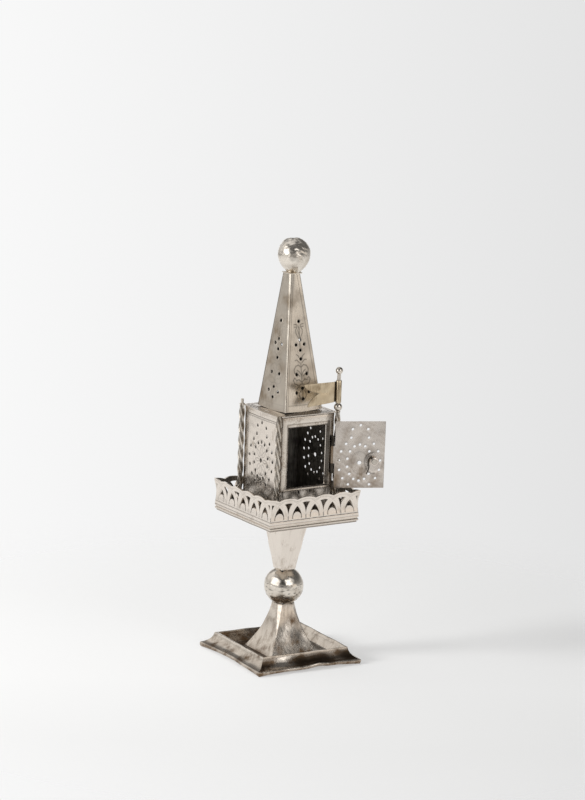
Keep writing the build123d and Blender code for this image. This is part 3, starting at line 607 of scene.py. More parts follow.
bead, bead_reach, bead_height = np.radians(np.linspace(-75, 90, 12)), 26.25, 76.24
tray_reach = np.concatenate([[24.6, 26.0, 26.25, 26.1, 26.15], bead_reach + 0.65 * np.cos(bead), [26.2]])
tray_height = np.concatenate([[74.86, 74.85, 74.98, 75.3, 75.5], bead_height + 0.66 * np.sin(bead), [76.93]])
points = square_sweep(tray_reach, tray_height, along=61)
points[..., 2] += 0.10 * ripple(points[..., 0], points[..., 1], 22, 5) * (tray_height < 76.5)[:, None]
groove = bell(tray_height - 75.35, 0.35)[:, None] + 0 * points[..., 0]
put_piece("drawn_tray_moulding", points, ring_faces(points), rolled_sheet,
          ["tray_moulding_" + side for side in SIDES], sharp=50,
          values={"engraving_and_shade": 0.55 * groove, "tarnish_and_shade": 0.12 + 0 * groove})

# %% [markdown]
# ## Spice chamber
# Three walls of the chamber are pierced with a rosette of punched holes: an oval ring, an open outer oval and a crown.
# Punching raises a small burr round each hole. A graver has drawn petals and leaves between the rings and a double
# border along the edges. The front wall carries the doorway. Inside, the sheet was never polished and is smoked.

# %% Rosette holes and leaves
rosette_z, hole_radius, centre_radius = 105.757, 0.70, 1.05
box_half, box_wall, box_base, box_top = 16.45, 0.35, 77.642, 131.342
oval_x, oval_z = 6.43, 9.49
inner_ring = arc(0, 0, oval_x, oval_z, 0, 360 * 13 / 14, 14)
right_ring = arc(0, 0, 10.8, 13.3, 42, 42 + 21.5 * 5, 6)
crown_ring = arc(0, 14.79, 4.9, 4.9, -110, 110, 5)
rosette = np.vstack([inner_ring, right_ring, right_ring * [-1, 1], crown_ring])


def leaf(angle, near, far, width):
    """Outline of an engraved leaf: a line along a spoke of the oval, with both sides swelling as half a sine wave."""
    t = np.linspace(0, 1, 13)
    a = np.radians(angle)
    spoke = np.array([oval_x * np.sin(a), oval_z * np.cos(a)])
    across = np.array([spoke[1], -spoke[0]]) / np.hypot(*spoke)
    middle = (near + (far - near) * t)[:, None] * spoke
    swell = (width * np.sin(np.pi * t ** 0.8))[:, None] * across
    return [middle + swell, middle - swell]


petals = sum([leaf(a, 0.26, 0.84, 0.85) for a in np.arange(0, 360, 45)], [])
leaves = sum([leaf(a, 1.14, 1.36, 0.75) for a in np.arange(51, 310, 25.7)], [])
oval_lines = [arc(0, 0, 5.3, 8.0, 0, 360, 60), arc(0, 0, 7.6, 10.7, 0, 360, 60)]


def hole_depth(x, z, holes):
    """Depth of metal beside round holes, each given by its middle: distance to the middle less the radius."""
    depth = np.hypot(x, z) - centre_radius
    for hx, hz in holes:
        depth = np.minimum(depth, np.hypot(x - hx, z - hz) - hole_radius)
    return depth


print("rosette holes:", len(rosette) + 1)

# %% Chamber walls
wall_step = 0.275
cols, rows = int(2 * box_half / wall_step) + 1, int((box_top - box_base) / wall_step) + 1
wall_x, wall_z = np.meshgrid(np.linspace(-box_half, box_half, cols), np.linspace(box_base, box_top, rows))
doorway_half, doorway_low, doorway_high = 11.9, 94.442, 125.442
sill_hole_x, sill_hole_z, back_rosette_half = 3.5, 91.442, 9.5
border_out, border_in, border_high, border_under = 2.1, 3.0, 128.3, 127.4
for seed, side in enumerate(SIDES):
    has_door = side == "front"
    if has_door:
        def wall_depth(x, z):
            """Metal round the doorway and the two small holes under its sill."""
            way = np.minimum(doorway_half - np.abs(x), np.minimum(z - doorway_low, doorway_high - z))
            sill = np.hypot(np.abs(x) - sill_hole_x, z - sill_hole_z) - hole_radius
            return np.minimum(-way, sill)
    else:
        # The back has fewer holes: none show past the middle of it through the doorway.
        punched = rosette[np.abs(rosette[:, 0]) < back_rosette_half] if side == "back" else rosette

        def wall_depth(x, z):
            """Metal round the holes of the rosette."""
            return hole_depth(x, z - rosette_z, punched)
    px, pz, keep, depth = pierced(wall_x, wall_z, wall_depth, wall_step)
    edge = box_half - np.abs(px)
    border = np.maximum(bell(edge - border_out, 0.18), bell(edge - border_in, 0.14))
    across = np.maximum(bell(pz - border_high, 0.18), bell(pz - border_under, 0.14))
    lines = np.maximum(border * (pz < border_high + 0.1), across * (edge > border_out))
    if not has_door:
        drawn = line_distance(px, pz - rosette_z, *petals, *leaves)
        lines = np.maximum(lines, 0.85 * bell(drawn, 0.15))
        lines = np.maximum(lines, 0.5 * bell(line_distance(px, pz - rosette_z, *oval_lines), 0.14))
    burr = bell(depth - 0.1, 0.28) * (not has_door)
    soft = np.clip(edge / 4, 0, 1) * np.clip((pz - box_base) / 6, 0, 1) * np.clip((box_top - pz) / 6, 0, 1)
    dents = 0.22 * ripple(px, pz, 24, seed + 41) + 0.035 * ripple(px, pz, 6, seed + 45)
    out = box_half + (not has_door) * soft * dents + 0.08 * burr - 0.10 * lines
    outer = np.stack([px, -out, pz], axis=-1)
    inner = np.stack([px * (1 - box_wall / box_half), -(out - box_wall), pz], axis=-1)
    points, faces, back_face = thicken(outer, inner, keep)
    soot_and_shade = 0.6 * lines + 0.5 * bell(depth, 0.16) * (not has_door)
    film_and_shade = 0.08 + 0.25 * np.exp(-edge / 1.2) + 0.15 * np.exp(-(pz - box_base) / 3) - 0.25 * burr
    put_piece("pierced_wall_" + side, to_side(points, side), faces, rolled_sheet, ["box_wall_" + side],
              values={"engraving_and_shade": np.clip(soot_and_shade, 0, 0.8), "tarnish_and_shade": np.clip(film_and_shade, 0, 1)}, back_face=back_face,
              inside=smoked)

# %% [markdown]
# ## Corner posts
# Each post is a square bar twisted like a rope. Its section is a square with softened corners, turned a little more at
# each height, so one formula in height and angle gives the whole surface. Rows of zero radius close the ends.

# %% Twisted posts
post_axis, post_half, post_low, post_high, post_turns = 17.741, 1.15, 77.642, 132.342, -1.9


def lofted(sections, heights):
    """Rings of points, one for each height, as a grid; the rings are arrays of x and y."""
    rings = np.asarray(sections, float)
    tall = np.broadcast_to(np.asarray(heights, float)[:, None, None], rings.shape[:2] + (1,))
    return np.concatenate([rings, tall], axis=-1)


around = np.linspace(0, 2 * np.pi, 48, endpoint=False)
softness = 11.0
square_reach = post_half * (np.abs(np.cos(around)) ** softness + np.abs(np.sin(around)) ** softness) ** (-1 / softness)
climb = np.linspace(0, 1, 221)
twist = post_turns * 2 * np.pi * climb[:, None] + around
bar = np.stack([square_reach * np.cos(twist), square_reach * np.sin(twist)], axis=-1)
closed = np.concatenate([0 * bar[:1], bar[:1] * 0.93, bar, bar[-1:] * 0.9, 0 * bar[:1]])
bar_z = post_low + (post_high - post_low) * np.concatenate([[0, 0], climb, [1, 1]])
hollow = 1 - (square_reach - square_reach.min()) / np.ptp(square_reach)
post_corners = [("front_left", -1, -1), ("front_right", 1, -1), ("back_right", 1, 1), ("back_left", -1, 1)]
for seed, (corner, sx, sy) in enumerate(post_corners):
    points = lofted(closed, bar_z) + [sx * post_axis, sy * post_axis, 0]
    film_and_shade = 0.60 * hollow ** 2 - 0.05 + 0.20 * ripple(points[..., 2], around + 0 * points[..., 2], 14, seed + 51)
    film_and_shade = film_and_shade + 0.30 * np.clip((points[..., 2] - 108) / 12, 0, 1) * (corner == "front_left")
    put_piece("twisted_post_" + corner, points, ring_faces(points), twisted_bar, ["corner_post_" + corner],
              merge=True, sharp=60,
              values={"tarnish_and_shade": np.clip(film_and_shade, 0, 1), "engraving_and_shade": 0.30 * hollow ** 6 + 0 * film_and_shade})

# %% [markdown]
# ## Door frame
# A moulded surround is soldered round the doorway, with a bevel towards the opening and a dull, brown outer band. Its
# profile is carried round the rectangle: at each step it lies between the inner and the outer outline.

# %% Door frame
frame_outer, frame_low, frame_high, frame_back = 15.2, 92.542, 131.4, 16.45
profile_share = np.array([0.0, 0.0, 0.03, 0.10, 0.20, 0.27, 0.30, 0.36, 0.42, 0.90, 0.97, 1.0, 1.0])
profile_out = 0.92 * np.array([0.0, 0.35, 0.52, 0.80, 1.10, 1.26, 1.20, 1.20, 1.30, 1.30, 1.22, 1.0, 0.0])
t = np.linspace(-1, 1, 61)[:-1]
ones = np.ones_like(t)
unit = np.vstack([np.column_stack([t, -ones]), np.column_stack([ones, t]), np.column_stack([-t, ones]),
                  np.column_stack([-ones, -t])])
outer_mid, outer_tall = (frame_low + frame_high) / 2, (frame_high - frame_low) / 2
inner_mid, inner_tall = (doorway_low + doorway_high) / 2, (doorway_high - doorway_low) / 2
# On the left the frame's lip reaches a little into the doorway.
lip = 0.9
inner_loop = np.column_stack([np.maximum(unit[:, 0] * doorway_half, lip - doorway_half),
                              inner_mid + unit[:, 1] * inner_tall])
outer_loop = np.column_stack([unit[:, 0] * frame_outer, outer_mid + unit[:, 1] * outer_tall])
share = profile_share[:, None, None]
loops = inner_loop + (outer_loop - inner_loop) * share
worn = 1 + 0.05 * ripple(loops[..., 0], loops[..., 1], 9, 61)
stands = frame_back + profile_out[:, None] * np.where(profile_out[:, None] > 0, worn, 1)
points = np.stack([loops[..., 0], -stands, loops[..., 1]], axis=-1)
brown_and_hinge_shade = np.interp(profile_share, [0, 0.3, 0.42, 1], [0.0, 0.25, 0.0, 0.20])[:, None]
# Right of the doorway, on the hinge side, more film is painted as the shadow of the door and hinge.
brown_and_hinge_shade = brown_and_hinge_shade + 0.25 * ripple(loops[..., 0], loops[..., 1], 12, 62) + 0.25 * (loops[..., 0] > doorway_half)
# The hinge side also gets soot colour as painted shadow, most on the inner part of the profile.
hinge_shadow = np.clip((loops[..., 0] - doorway_half + 0.4) / 0.5, 0, 1)
line = bell(profile_share - 0.33, 0.04)[:, None] * 0.7 + 0.45 * hinge_shadow
line = line + 0.30 * (profile_share < 0.27)[:, None] * hinge_shadow
put_piece("moulded_door_frame", points, ring_faces(points)[:, ::-1], moulded, ["door_frame"],
          values={"tarnish_and_shade": np.clip(brown_and_hinge_shade, 0, 1), "engraving_and_shade": np.clip(line, 0, 0.85)}, sharp=50)

# %% [markdown]
# ## Roof
# The chamber is closed by a thin square lid, notched round the posts, with two grooves drawn along its edges. The lid
# is a profile carried round a square; points that would fall inside a post are pushed out onto a circle round it.

# %% Roof lid
roof_top, notch = 132.142, 1.726
roof_reach = np.concatenate([[8.9], np.linspace(9.2, 17.35, 46),
                             [17.6, 17.74, 17.74, 17.62, 17.3, 16.62, 16.60, 16.60]])
roof_drop = np.concatenate([[0.0], np.zeros(46), [0.03, 0.14, 0.42, 0.56, 0.62, 0.64, 1.2, 2.12]])
roof_lines = np.maximum(bell(roof_reach - 15.9, 0.17), bell(roof_reach - 14.4, 0.17)) * (roof_drop < 0.02)
points = square_sweep(roof_reach, roof_top - roof_drop - 0.14 * roof_lines, along=97)
sag = np.clip((roof_reach - 11.5) / 6, 0, 1)[:, None]
points[..., 2] += sag * (0.16 * ripple(points[..., 0], points[..., 1], 17, 71) - 0.10)
points[..., 2] -= 0.35 * sag * bell(points[..., 1] + 2, 4) * (points[..., 0] < -15)
post_xy = np.sign(points[..., :2] + 1e-9) * post_axis
from_post = points[..., :2] - post_xy
reach_from = np.hypot(from_post[..., 0], from_post[..., 1])[..., None]
inward = np.where(reach_from > 1e-6, from_post / np.maximum(reach_from, 1e-6), -np.sign(post_xy) * np.sqrt(0.5))
points[..., :2] = np.where(reach_from < notch, post_xy + inward * notch, points[..., :2])
film_and_shade = 0.04 + 0.30 * ripple(points[..., 0], points[..., 1], 8, 72) + 0.2 * (roof_drop > 0.5)[:, None]
# Under the lid's edge the soot colour is painted shade; on the two grooves it is soot in the cuts.
under_edge_shade_and_grooves = 0.6 * ((roof_drop > 0.5) & (roof_drop < 0.63))[:, None] + 0.6 * roof_lines[:, None] + 0 * film_and_shade
put_piece("thin_roof_lid", points, ring_faces(points)[:, ::-1], rolled_sheet, ["roof_plate"],
          values={"tarnish_and_shade": np.clip(film_and_shade, 0, 1), "engraving_and_shade": np.clip(under_edge_shade_and_grooves, 0, 0.85)}, sharp=40)

# %% [markdown]
# ## Spire
# Four tall panels are soldered along their edges, where a file has left a narrow bright facet. Each is pierced so that
# scent can rise, and engraved with a tulip, leaves and a border. Columns of the grid narrow with the panel, and the
# last ones turn round the filed corner to meet the next panel.

# %% Spire holes and engraving
spire_low, spire_high, spire_base_half, spire_top_half, spire_wall = 132.142, 202.142, 11.8, 3.25, 0.45
# Each hole has its distance from the panel's middle line and its share of the height.
spire_holes = [(0, 0.655), (0, 0.52), (2.6, 0.487), (-2.6, 0.487), (0, 0.446), (0, 0.383), (3.2, 0.272), (-3.2, 0.272),
               (0, 0.171), (3.9, 0.14), (-3.9, 0.14), (0, 0.095)]
spire_rise, spire_hole_radius = spire_high - spire_low, 0.80


def mirrored(path):
    """A line and its mirror image."""
    path = np.asarray(path, float)
    return [path, path * [-1, 1]]


# Right halves of the engraved lines, as distances from the middle line and heights: a tulip, and leaves and scrolls.
tulip = 172.8
tulip_lines = [[(0, -4.2), (1.0, -2.6), (2.0, -0.8), (2.1, 1.0), (1.2, 2.2), (1.0, 3.2), (1.6, 3.7), (3.0, 3.8)],
               [(1.4, 2.4), (2.9, 2.5)],
               [(0, 2.8), (0.6, 0.6), (0, -3.0)]]
leaf_lines = [[(0, 154.6), (1.6, 156.0), (3.4, 155.4), (4.6, 153.6), (4.2, 151.8), (3.0, 152.2)],
              [(0, 150.4), (1.3, 152.6), (2.6, 153.4)],
              [(0, 147.0), (1.8, 148.6), (3.6, 148.2)],
              [(0, 146.4), (2.2, 145.6), (4.6, 146.6), (5.4, 148.4), (4.5, 149.6), (3.7, 148.9)],
              [(0.3, 158.2), (1.4, 160.6), (2.6, 161.4)],
              [(0.8, 157.0), (2.4, 158.6), (3.6, 158.4)],
              [(0.5, 143.8), (2.0, 145.0), (3.4, 144.2)],
              [(1.0, 150.2), (2.4, 151.4), (3.0, 150.6)],
              [(0, 143.6), (1.5, 142.6), (2.4, 140.6), (1.2, 138.6), (0, 137.6)]]
stalks = [[(0, 137.6), (0, 143.0)], [(0, 146.0), (0, 157.0)], [(0, 165.5), (0, 168.2)]]
spire_drawing = [np.array(path) for path in stalks]
for path in [np.array(line) + [0, tulip] for line in tulip_lines] + leaf_lines:
    spire_drawing += mirrored(path)
print("engraved lines on a panel:", len(spire_drawing))

# %% Spire grid
cols, rows = 89, 261
span, rise = np.meshgrid(np.linspace(-1, 1, cols), np.linspace(0, 1, rows))
half = spire_base_half + (spire_top_half - spire_base_half) * rise
turn_at = 1 - 4 / (cols - 1)
past = np.clip((np.abs(span) - turn_at) / (1 - turn_at), 0, 1)
# The file took more off one side of each corner than off the other.
facet, more = 0.12 + 0.42 * rise ** 1.6, 1.55
filed_down = facet * np.where(span < 0, 1.0, more)
filed_next = facet * np.where(span < 0, more, 1.0)
spire_x = np.sign(span) * (np.minimum(np.abs(span), turn_at) / turn_at * (half - filed_down) + past * filed_down / 2)


def spire_depth(x, z):
    """Metal round the punched holes of a spire panel."""
    depth = np.full(np.shape(x), 9.0)
    for hx, share in spire_holes:
        depth = np.minimum(depth, np.hypot(x - hx, z - spire_low - share * spire_rise) - spire_hole_radius)
    return depth


def leaning(points, yaw=4.5, lean=1.5):
    """The spire as it was soldered: turned a few degrees about its axis, and its tip pulled a little to one side."""
    share = np.clip((points[..., 2:] - spire_low) / spire_rise, 0, 1.2)
    return yawed(points, yaw) - lean * share * right


print("spire grid:", rows, "by", cols, "points")

# %% Spire panels
for seed, side in enumerate(SIDES):
    px, pz, keep, depth = pierced(spire_x, spire_low + rise * spire_rise, spire_depth, 0.27)
    here = spire_base_half + (spire_top_half - spire_base_half) * (pz - spire_low) / spire_rise
    edge = here - filed_down - np.abs(px)
    filed = np.maximum(bell(edge - 0.25, 0.3) * (px < 0) * (past < 0.3), past * (0.75 - 0.6 * rise))
    carved = 1.0 if side in ("front", "back") else 0.25
    lines = 0.7 * bell(edge - 1.5, 0.22)
    lines = np.maximum(lines, 0.7 * bell(pz - spire_low - 3.4, 0.22) * (edge > 1.5))
    lines = carved * np.maximum(lines, 0.95 * bell(line_distance(px, pz, *spire_drawing), 0.27) * (edge > 1.4))
    burr = bell(depth - 0.1, 0.28)
    soft = np.clip(edge / 2.5, 0, 1)
    dents = 0.15 * ripple(px, pz, 24, seed + 81) + 0.012 * ripple(px, pz, 7, seed + 85)
    out = here - past * filed_next / 2 + soft * dents + 0.07 * burr - 0.02 * lines
    # The lower corners of a panel are bent up a little from the roof.
    corners = bell(px + spire_base_half, 7) + bell(px - spire_base_half, 7)
    lift = 0.45 * corners * np.clip(1 - (pz - spire_low) / 8, 0, 1)
    outer = np.stack([px, -out, pz + lift], axis=-1)
    inner = np.stack([px * (1 - spire_wall / here), -(out - spire_wall), pz + lift], axis=-1)
    points, faces, back_face = thicken(outer, inner, keep)
    soot_and_shade = 0.72 * lines + 0.6 * bell(depth, 0.2) + 0.75 * filed * (1 - 0.3 * rise)
    low_half = bell(rise - 0.36, 0.22) + 0.4 * bell(rise - 0.97, 0.03) * (px > 0)
    # The left panel's extra film is painted shade: that whole side is darker.
    film_and_shade = (0.26 if side == "left" else 0.0) - 0.5 * past - 0.2 * burr
    film_and_shade = film_and_shade + 0.36 * low_half * (0.75 + 0.5 * ripple(px, pz, 9, seed + 91))
    put_piece("pierced_spire_" + side, leaning(to_side(points, side)), faces, spire_sheet, ["spire_panel_" + side],
              values={"engraving_and_shade": np.clip(soot_and_shade, 0, 0.8), "tarnish_and_shade": np.clip(film_and_shade, 0, 1)}, back_face=back_face,
              inside=blackened_and_shade)

# %% [markdown]
# ## Balls, cap and other turned pieces
# Balls were raised from sheet in two halves and soldered. They are surfaces of revolution: a profile of radius and
# height is turned about an axis, and dents are added as soft noise along the normal. A profile that starts and ends on
# the axis closes itself once the doubled pole points are merged.

# %% Turned pieces
def turned(radii, heights, axis=(0.0, 0.0), steps=72):
    """Profile of radius and height turned about an upright axis, as a grid of height rows and angle columns."""
    a = np.linspace(0, 2 * np.pi, steps, endpoint=False)
    radii, heights = np.asarray(radii, float), np.asarray(heights, float)
    rings = np.stack([radii[:, None] * np.cos(a) + axis[0], radii[:, None] * np.sin(a) + axis[1]], axis=-1)
    return lofted(rings, heights)


def rolled_tube(bore, out, ends, bevel, axis, steps):
    """A short tube: its profile runs up the outside, with a bevel at both ends, and back down the bore."""
    low, high = ends
    radii = [bore, out - bevel[0], out, out, out - bevel[0], bore, bore]
    return turned(radii, [low, low, low + bevel[1], high - bevel[1], high, high, low], axis, steps)


def dented_ball(radius, height, seed, axis=(0.0, 0.0), vent=0.0, depth=0.12, rows=72, steps=96, seat=0.0):
    """A sphere with soft noise in its radius, a vent rolled in at the top and its foot drawn down by seat."""
    low = np.radians(np.linspace(-90, 90, rows))
    points = turned(np.cos(low), np.sin(low), steps=steps)
    noise = ripple(points[..., 0] * 10 + 3 * points[..., 2], points[..., 1] * 10 - 4 * points[..., 2], 8.5, seed)
    fine = ripple(points[..., 0] * 10 + 7 * points[..., 2], points[..., 1] * 10 + 6 * points[..., 2], 2.6, seed + 1)
    size = radius + depth * noise + 0.3 * depth * fine
    from_axis = np.hypot(points[..., 0], points[..., 1]) * radius
    sink = np.where(points[..., 2] > 0, np.exp(-(from_axis / max(vent, 0.1)) ** 4), 0) * bool(vent)
    size = size - 2.2 * sink
    ball = points * size[..., None] + [axis[0], axis[1], height]
    ball[..., 2] -= seat * radius * np.clip(-points[..., 2], 0, 1) ** 2.5
    return ball, sink


print("a profile of 3 points turns into a grid of", turned([0, 1, 0], [0, 1, 2]).shape[:2])

# %% Finial ball
finial_z, finial_radius = 211.871, 8.06
# The vent's dimple is painted near black as the shade inside the vent hole.
ball, vent_painted_shade = dented_ball(finial_radius + 0.2, finial_z, 101, axis=-0.6 * right[:2], vent=1.35, depth=0.36,
                              seat=0.22)
film_and_shade = 0.04 + 0.22 * ripple(ball[..., 0], ball[..., 2], 6, 103) + 0.20 * bell(ball[..., 2] - finial_z, 0.5)
put_piece("raised_finial_ball", ball, ring_faces(ball), battered,
          ["finial_ball_lower", "finial_ball_upper"], merge=True, sharp=70,
          values={"tarnish_and_shade": np.clip(film_and_shade, 0, 1), "engraving_and_shade": np.clip(1.2 * vent_painted_shade, 0, 0.95)})

# %% Spire cap
cap_reach = [0.0, 3.2, 3.55, 3.70, 3.66, 3.3, 3.0]
cap_height = [201.9, 201.9, 202.0, 202.25, 202.5, 202.62, 202.7]
cap = square_sweep(cap_reach, cap_height, along=25)
cap[..., 2] += 0.16 * ripple(cap[..., 0], cap[..., 1], 3.4, 105) * (np.asarray(cap_reach) > 3.4)[:, None]
collar = turned([2.6, 2.5, 2.4, 2.3, 2.2, 2.1, 2.0, 0.0], [202.8, 203.0, 203.4, 203.8, 204.2, 204.6, 205.2, 205.2],
                steps=96)
# The collar's columns are counted on until they start at the same corner as the cap's.
points = np.concatenate([cap, np.roll(collar, -60, axis=1)])
put_piece("spire_cap_and_collar", leaning(points, lean=1.2), ring_faces(points), spire_sheet, ["spire_cap"], merge=True,
          values={"tarnish_and_shade": 0.05 + 0 * points[..., 0]}, sharp=40)

# %% [markdown]
# ## Stem, knop and pedestal
# The tray stands on a four-sided tube that widens upwards, the tube on a hollow ball made to be held between the
# fingers, and the ball on a flared foot tube. The tubes are folded from sheet, so their corners are filed flat. A
# square with cut corners is carried up a profile of half widths; the pedestal's facets are wide at the top and fade
# out downwards.

# %% Square tubes
def cut_square(half, cut, along=25, uneven=1.0):
    """Rings of a square with cut corners: each side runs from one cut to the next, which is uneven times as long."""
    half, cut = np.asarray(half, float)[:, None], np.asarray(cut, float)[:, None]
    t = np.linspace(0, 1, along)[None, :]
    x, y = (cut - half) * (1 - t) + (half - cut * uneven) * t, -half + 0 * t
    return np.concatenate([np.stack(side, -1) for side in ((x, y), (-y, x), (-x, -y), (y, -x))], axis=1)


def bowed(start, end, bow, steps):
    """A profile from one point of reach and height to another, bowed out sideways from the straight as a parabola."""
    t = np.linspace(0, 1, steps)[:, None]
    chord = np.array(end) - start
    sideways = np.array([-chord[1], chord[0]]) / np.hypot(*chord)
    return np.array(start) + t * chord + bow * (1 - (2 * t - 1) ** 2) * sideways


print("middle of a bowed profile:", bowed([0, 0], [0, 2], 0.5, 3)[1])

# %% Stem
stem_low, stem_high, stem_low_half, stem_high_half = 46.942, 76.942, 4.2, 9.2
climb = np.linspace(0, 1, 91)
stem_half = stem_low_half + (stem_high_half - stem_low_half) * climb
rings = cut_square(stem_half, 0.32 + 0 * climb)
points = lofted(rings, stem_low + (stem_high - stem_low) * climb)
dent = 0.10 * ripple(points[..., 0] + points[..., 1], points[..., 2], 11, 111) * np.sin(np.pi * climb)[:, None]
points[..., :2] *= (1 + dent / stem_half[:, None])[..., None]
splash = np.exp(-(points[..., 2] - stem_low) / 2.2) * (0.25 + 0.4 * ripple(points[..., 0], points[..., 2], 3, 112))
streaks = 0.16 * ripple(points[..., 0] + points[..., 1], 0.12 * points[..., 2], 2.2, 113)
put_piece("folded_stem_tube", points, ring_faces(points), rolled_sheet, ["stem"],
          values={"tarnish_and_shade": np.clip(splash + streaks, 0, 1)}, sharp=28)

# %% Pedestal
pedestal_low, pedestal_high, pedestal_low_half, pedestal_high_half, pedestal_bow = 3.5, 28.8, 14.0, 4.75, 1.6
climb = np.linspace(0, 1, 101)
curve = bowed([pedestal_low_half, pedestal_low], [pedestal_high_half, pedestal_high], pedestal_bow, len(climb))
facets = 0.10 + 1.35 * np.clip((climb - 0.35) / 0.65, 0, 1) ** 1.1
points = lofted(cut_square(curve[:, 0], facets, uneven=1.5), curve[:, 1])
dent = 0.09 * ripple(points[..., 0] + points[..., 1], points[..., 2], 12, 115) * np.sin(np.pi * climb)[:, None]
points[..., :2] *= (1 + dent / curve[:, :1])[..., None]
across, deep = np.clip(points[..., :2] / curve[:, :1, None], -1, 1).transpose(2, 0, 1)
# The right faces get film as painted shade, broken up by brown blotches.
right_side_shade = np.clip(0.5 * across - 0.5 * deep, 0, 1)
blotches = 0.6 + 0.7 * ripple(points[..., 0] + points[..., 1], points[..., 2], 8, 116)
# The dark band low on the tube is painted: it stands for the foot ridge's dark reflection and shadow on it.
film_and_shade = -0.10 + 0.65 * np.exp(-(points[..., 2] - pedestal_low) / 2.6) + 0.55 * right_side_shade * blotches
film_and_shade = film_and_shade + 0.18 * ripple(points[..., 0] - points[..., 1], 0.2 * points[..., 2], 2.5, 117)
# The filed corners are rubbed clean.
film_and_shade = np.where(np.hypot(points[..., 0], points[..., 1]) > curve[:, :1] * 1.26, 0.4 * film_and_shade - 0.2, film_and_shade)
ring = 0.5 * np.exp(-(pedestal_high - points[..., 2]) / 0.35)
put_piece("flared_pedestal_tube", yawed(points, -2.5), ring_faces(points), tarnished, ["pedestal"],
          values={"tarnish_and_shade": np.clip(film_and_shade, 0, 1), "engraving_and_shade": ring}, sharp=24)

# %% Knop
knop_z, knop_radius = 37.7615, 10.2
ball, _ = dented_ball(knop_radius, knop_z, 121, depth=0.10, rows=88, steps=120)
level = (ball[..., 2] - knop_z) / knop_radius
film_and_shade = -0.4 * (np.abs(level + 0.15) > 0.60) + 0.24 * ripple(ball[..., 0], ball[..., 2], 5, 123)
film_and_shade = film_and_shade + 0.20 * bell(level + 0.35, 0.2)
seam = bell(level + 0.02, 0.02) * 0.12
pits = ripple(ball[..., 0] * 1.1 + 0.7 * ball[..., 1], ball[..., 2], 1.5, 124, waves=14)
pits = np.clip(2.2 * pits - 1.0, 0, 1) * (level < 0.2)
ball = ball - (ball - [0, 0, knop_z]) * (0.012 * pits)[..., None]
put_piece("raised_knop", ball, ring_faces(ball), burnished, ["knop_lower", "knop_upper"],
          merge=True, sharp=70, values={"tarnish_and_shade": np.clip(film_and_shade, 0, 1),
                                        "engraving_and_shade": np.clip(seam + 0.8 * pits * (level > -0.75), 0, 0.8)})

# %% [markdown]
# ## Foot
# The foot is one square of sheet beaten over a form: an edge turned down, a hollow curve up to a sharp ridge, and a
# dish inside it. It has been dropped and knocked, so the turned edge is wavy and lifts off the table here and there,
# while the corners still stand on it. A closed profile, outside and underside, is carried round the square, and the
# knocks are added as functions of the place along each side.

# %% Foot profile
foot_half, foot_steps = 30.0, 141
edge_band = [[29.2, 0.05], [29.7, 0.0], [30.0, 0.3], [30.2, 1.0], [30.3, 1.7], [30.2, 2.3], [29.85, 2.62]]
hollow = bowed([29.3, 2.75], [24.95, 8.45], 1.0, 26)
ridge = [[24.75, 8.56], [24.5, 8.50], [24.2, 8.25]]
dish = np.vstack([np.linspace([23.9, 7.8], [20.9, 3.75], 10), [[20.4, 3.5], [19.8, 3.46]],
                  np.linspace([19.0, 3.45], [9.5, 3.45], 7)])
underside = [[9.5, 2.75], [20.2, 2.75], [22.9, 6.9], [24.3, 7.7], [27.2, 2.9], [29.0, 2.0], [29.1, 0.9], [29.2, 0.05]]
foot_profile = np.vstack([edge_band, hollow, ridge, dish, underside])
points, loop = square_sweep(foot_profile[:, 0], foot_profile[:, 1], foot_steps), square_loop(foot_steps)
reach, tall = foot_profile[:, :1], foot_profile[:, 1:]
outside = (np.arange(len(foot_profile)) < len(edge_band) + len(hollow))[:, None]
print("points in the foot's profile:", len(foot_profile))

# %% Knocks on the foot
sideways = np.where(np.abs(loop[:, 1]) == 1, loop[:, 0], loop[:, 1])
on_front, on_left = (loop[:, 1] == -1) * 1.0, (loop[:, 0] == -1) * 1.0
elsewhere = 1 - on_front - on_left
span = sideways * foot_half
# Knocks lift the turned edge: two on the front, a long one on the left, and waves on the other sides.
knock = on_front * (0.95 * bell(span - 6, 5) + 0.35 * bell(span - 17, 5)) + 0.55 * on_left * bell(span - 3, 13)
knock = (knock + 0.3 * elsewhere * np.cos(sideways * 4) ** 2) * (1 - sideways ** 6)
rim = np.clip((reach - 27.5) / 2.2, 0, 1)
points[..., 2] += rim * knock
# Between the corners the edge's underside stands clear of the table.
under_lip = np.clip((1.6 - tall) / 1.6, 0, 1) * rim
points[..., 2] += under_lip * (0.85 * on_front + 0.75 * on_left + 0.4 * elsewhere) * (1 - sideways ** 4)
# The front's hollow swells near its left end, and all sides are a little uneven.
swell = np.clip((reach - 24.5) / 1.5, 0, 1) * np.clip((29 - reach) / 2, 0, 1) * outside
points[..., 1] -= 0.45 * on_front * bell(span + 13, 7) * swell
wobble = 0.16 * ripple(span + 40 * on_front + 90 * on_left, reach, 17, 131) + 0.03 * ripple(span, reach * 2, 5, 132)
wobble = wobble * (1 - sideways ** 8) * np.clip((reach - 20) / 8, 0, 1)
points[..., :2] *= (1 + wobble / foot_half)[..., None]
points[..., 2] += 0.12 * ripple(points[..., 0], points[..., 1], 14, 133) * np.clip((reach - 19) / 4, 0, 1) * (1 - rim)
# The foot stands a little turned, and its back left corner has been pulled out.
points = yawed(points, -3.0)
pull, pull_way = 1.7, np.array([-0.839, 0.545])
pulled = bell(np.hypot(points[..., 0] + foot_half, points[..., 1] - foot_half), 13) * outside
points[..., :2] += pull * pulled[..., None] * pull_way
print("edge lifted by up to", round(float(knock.max()), 2), "mm")

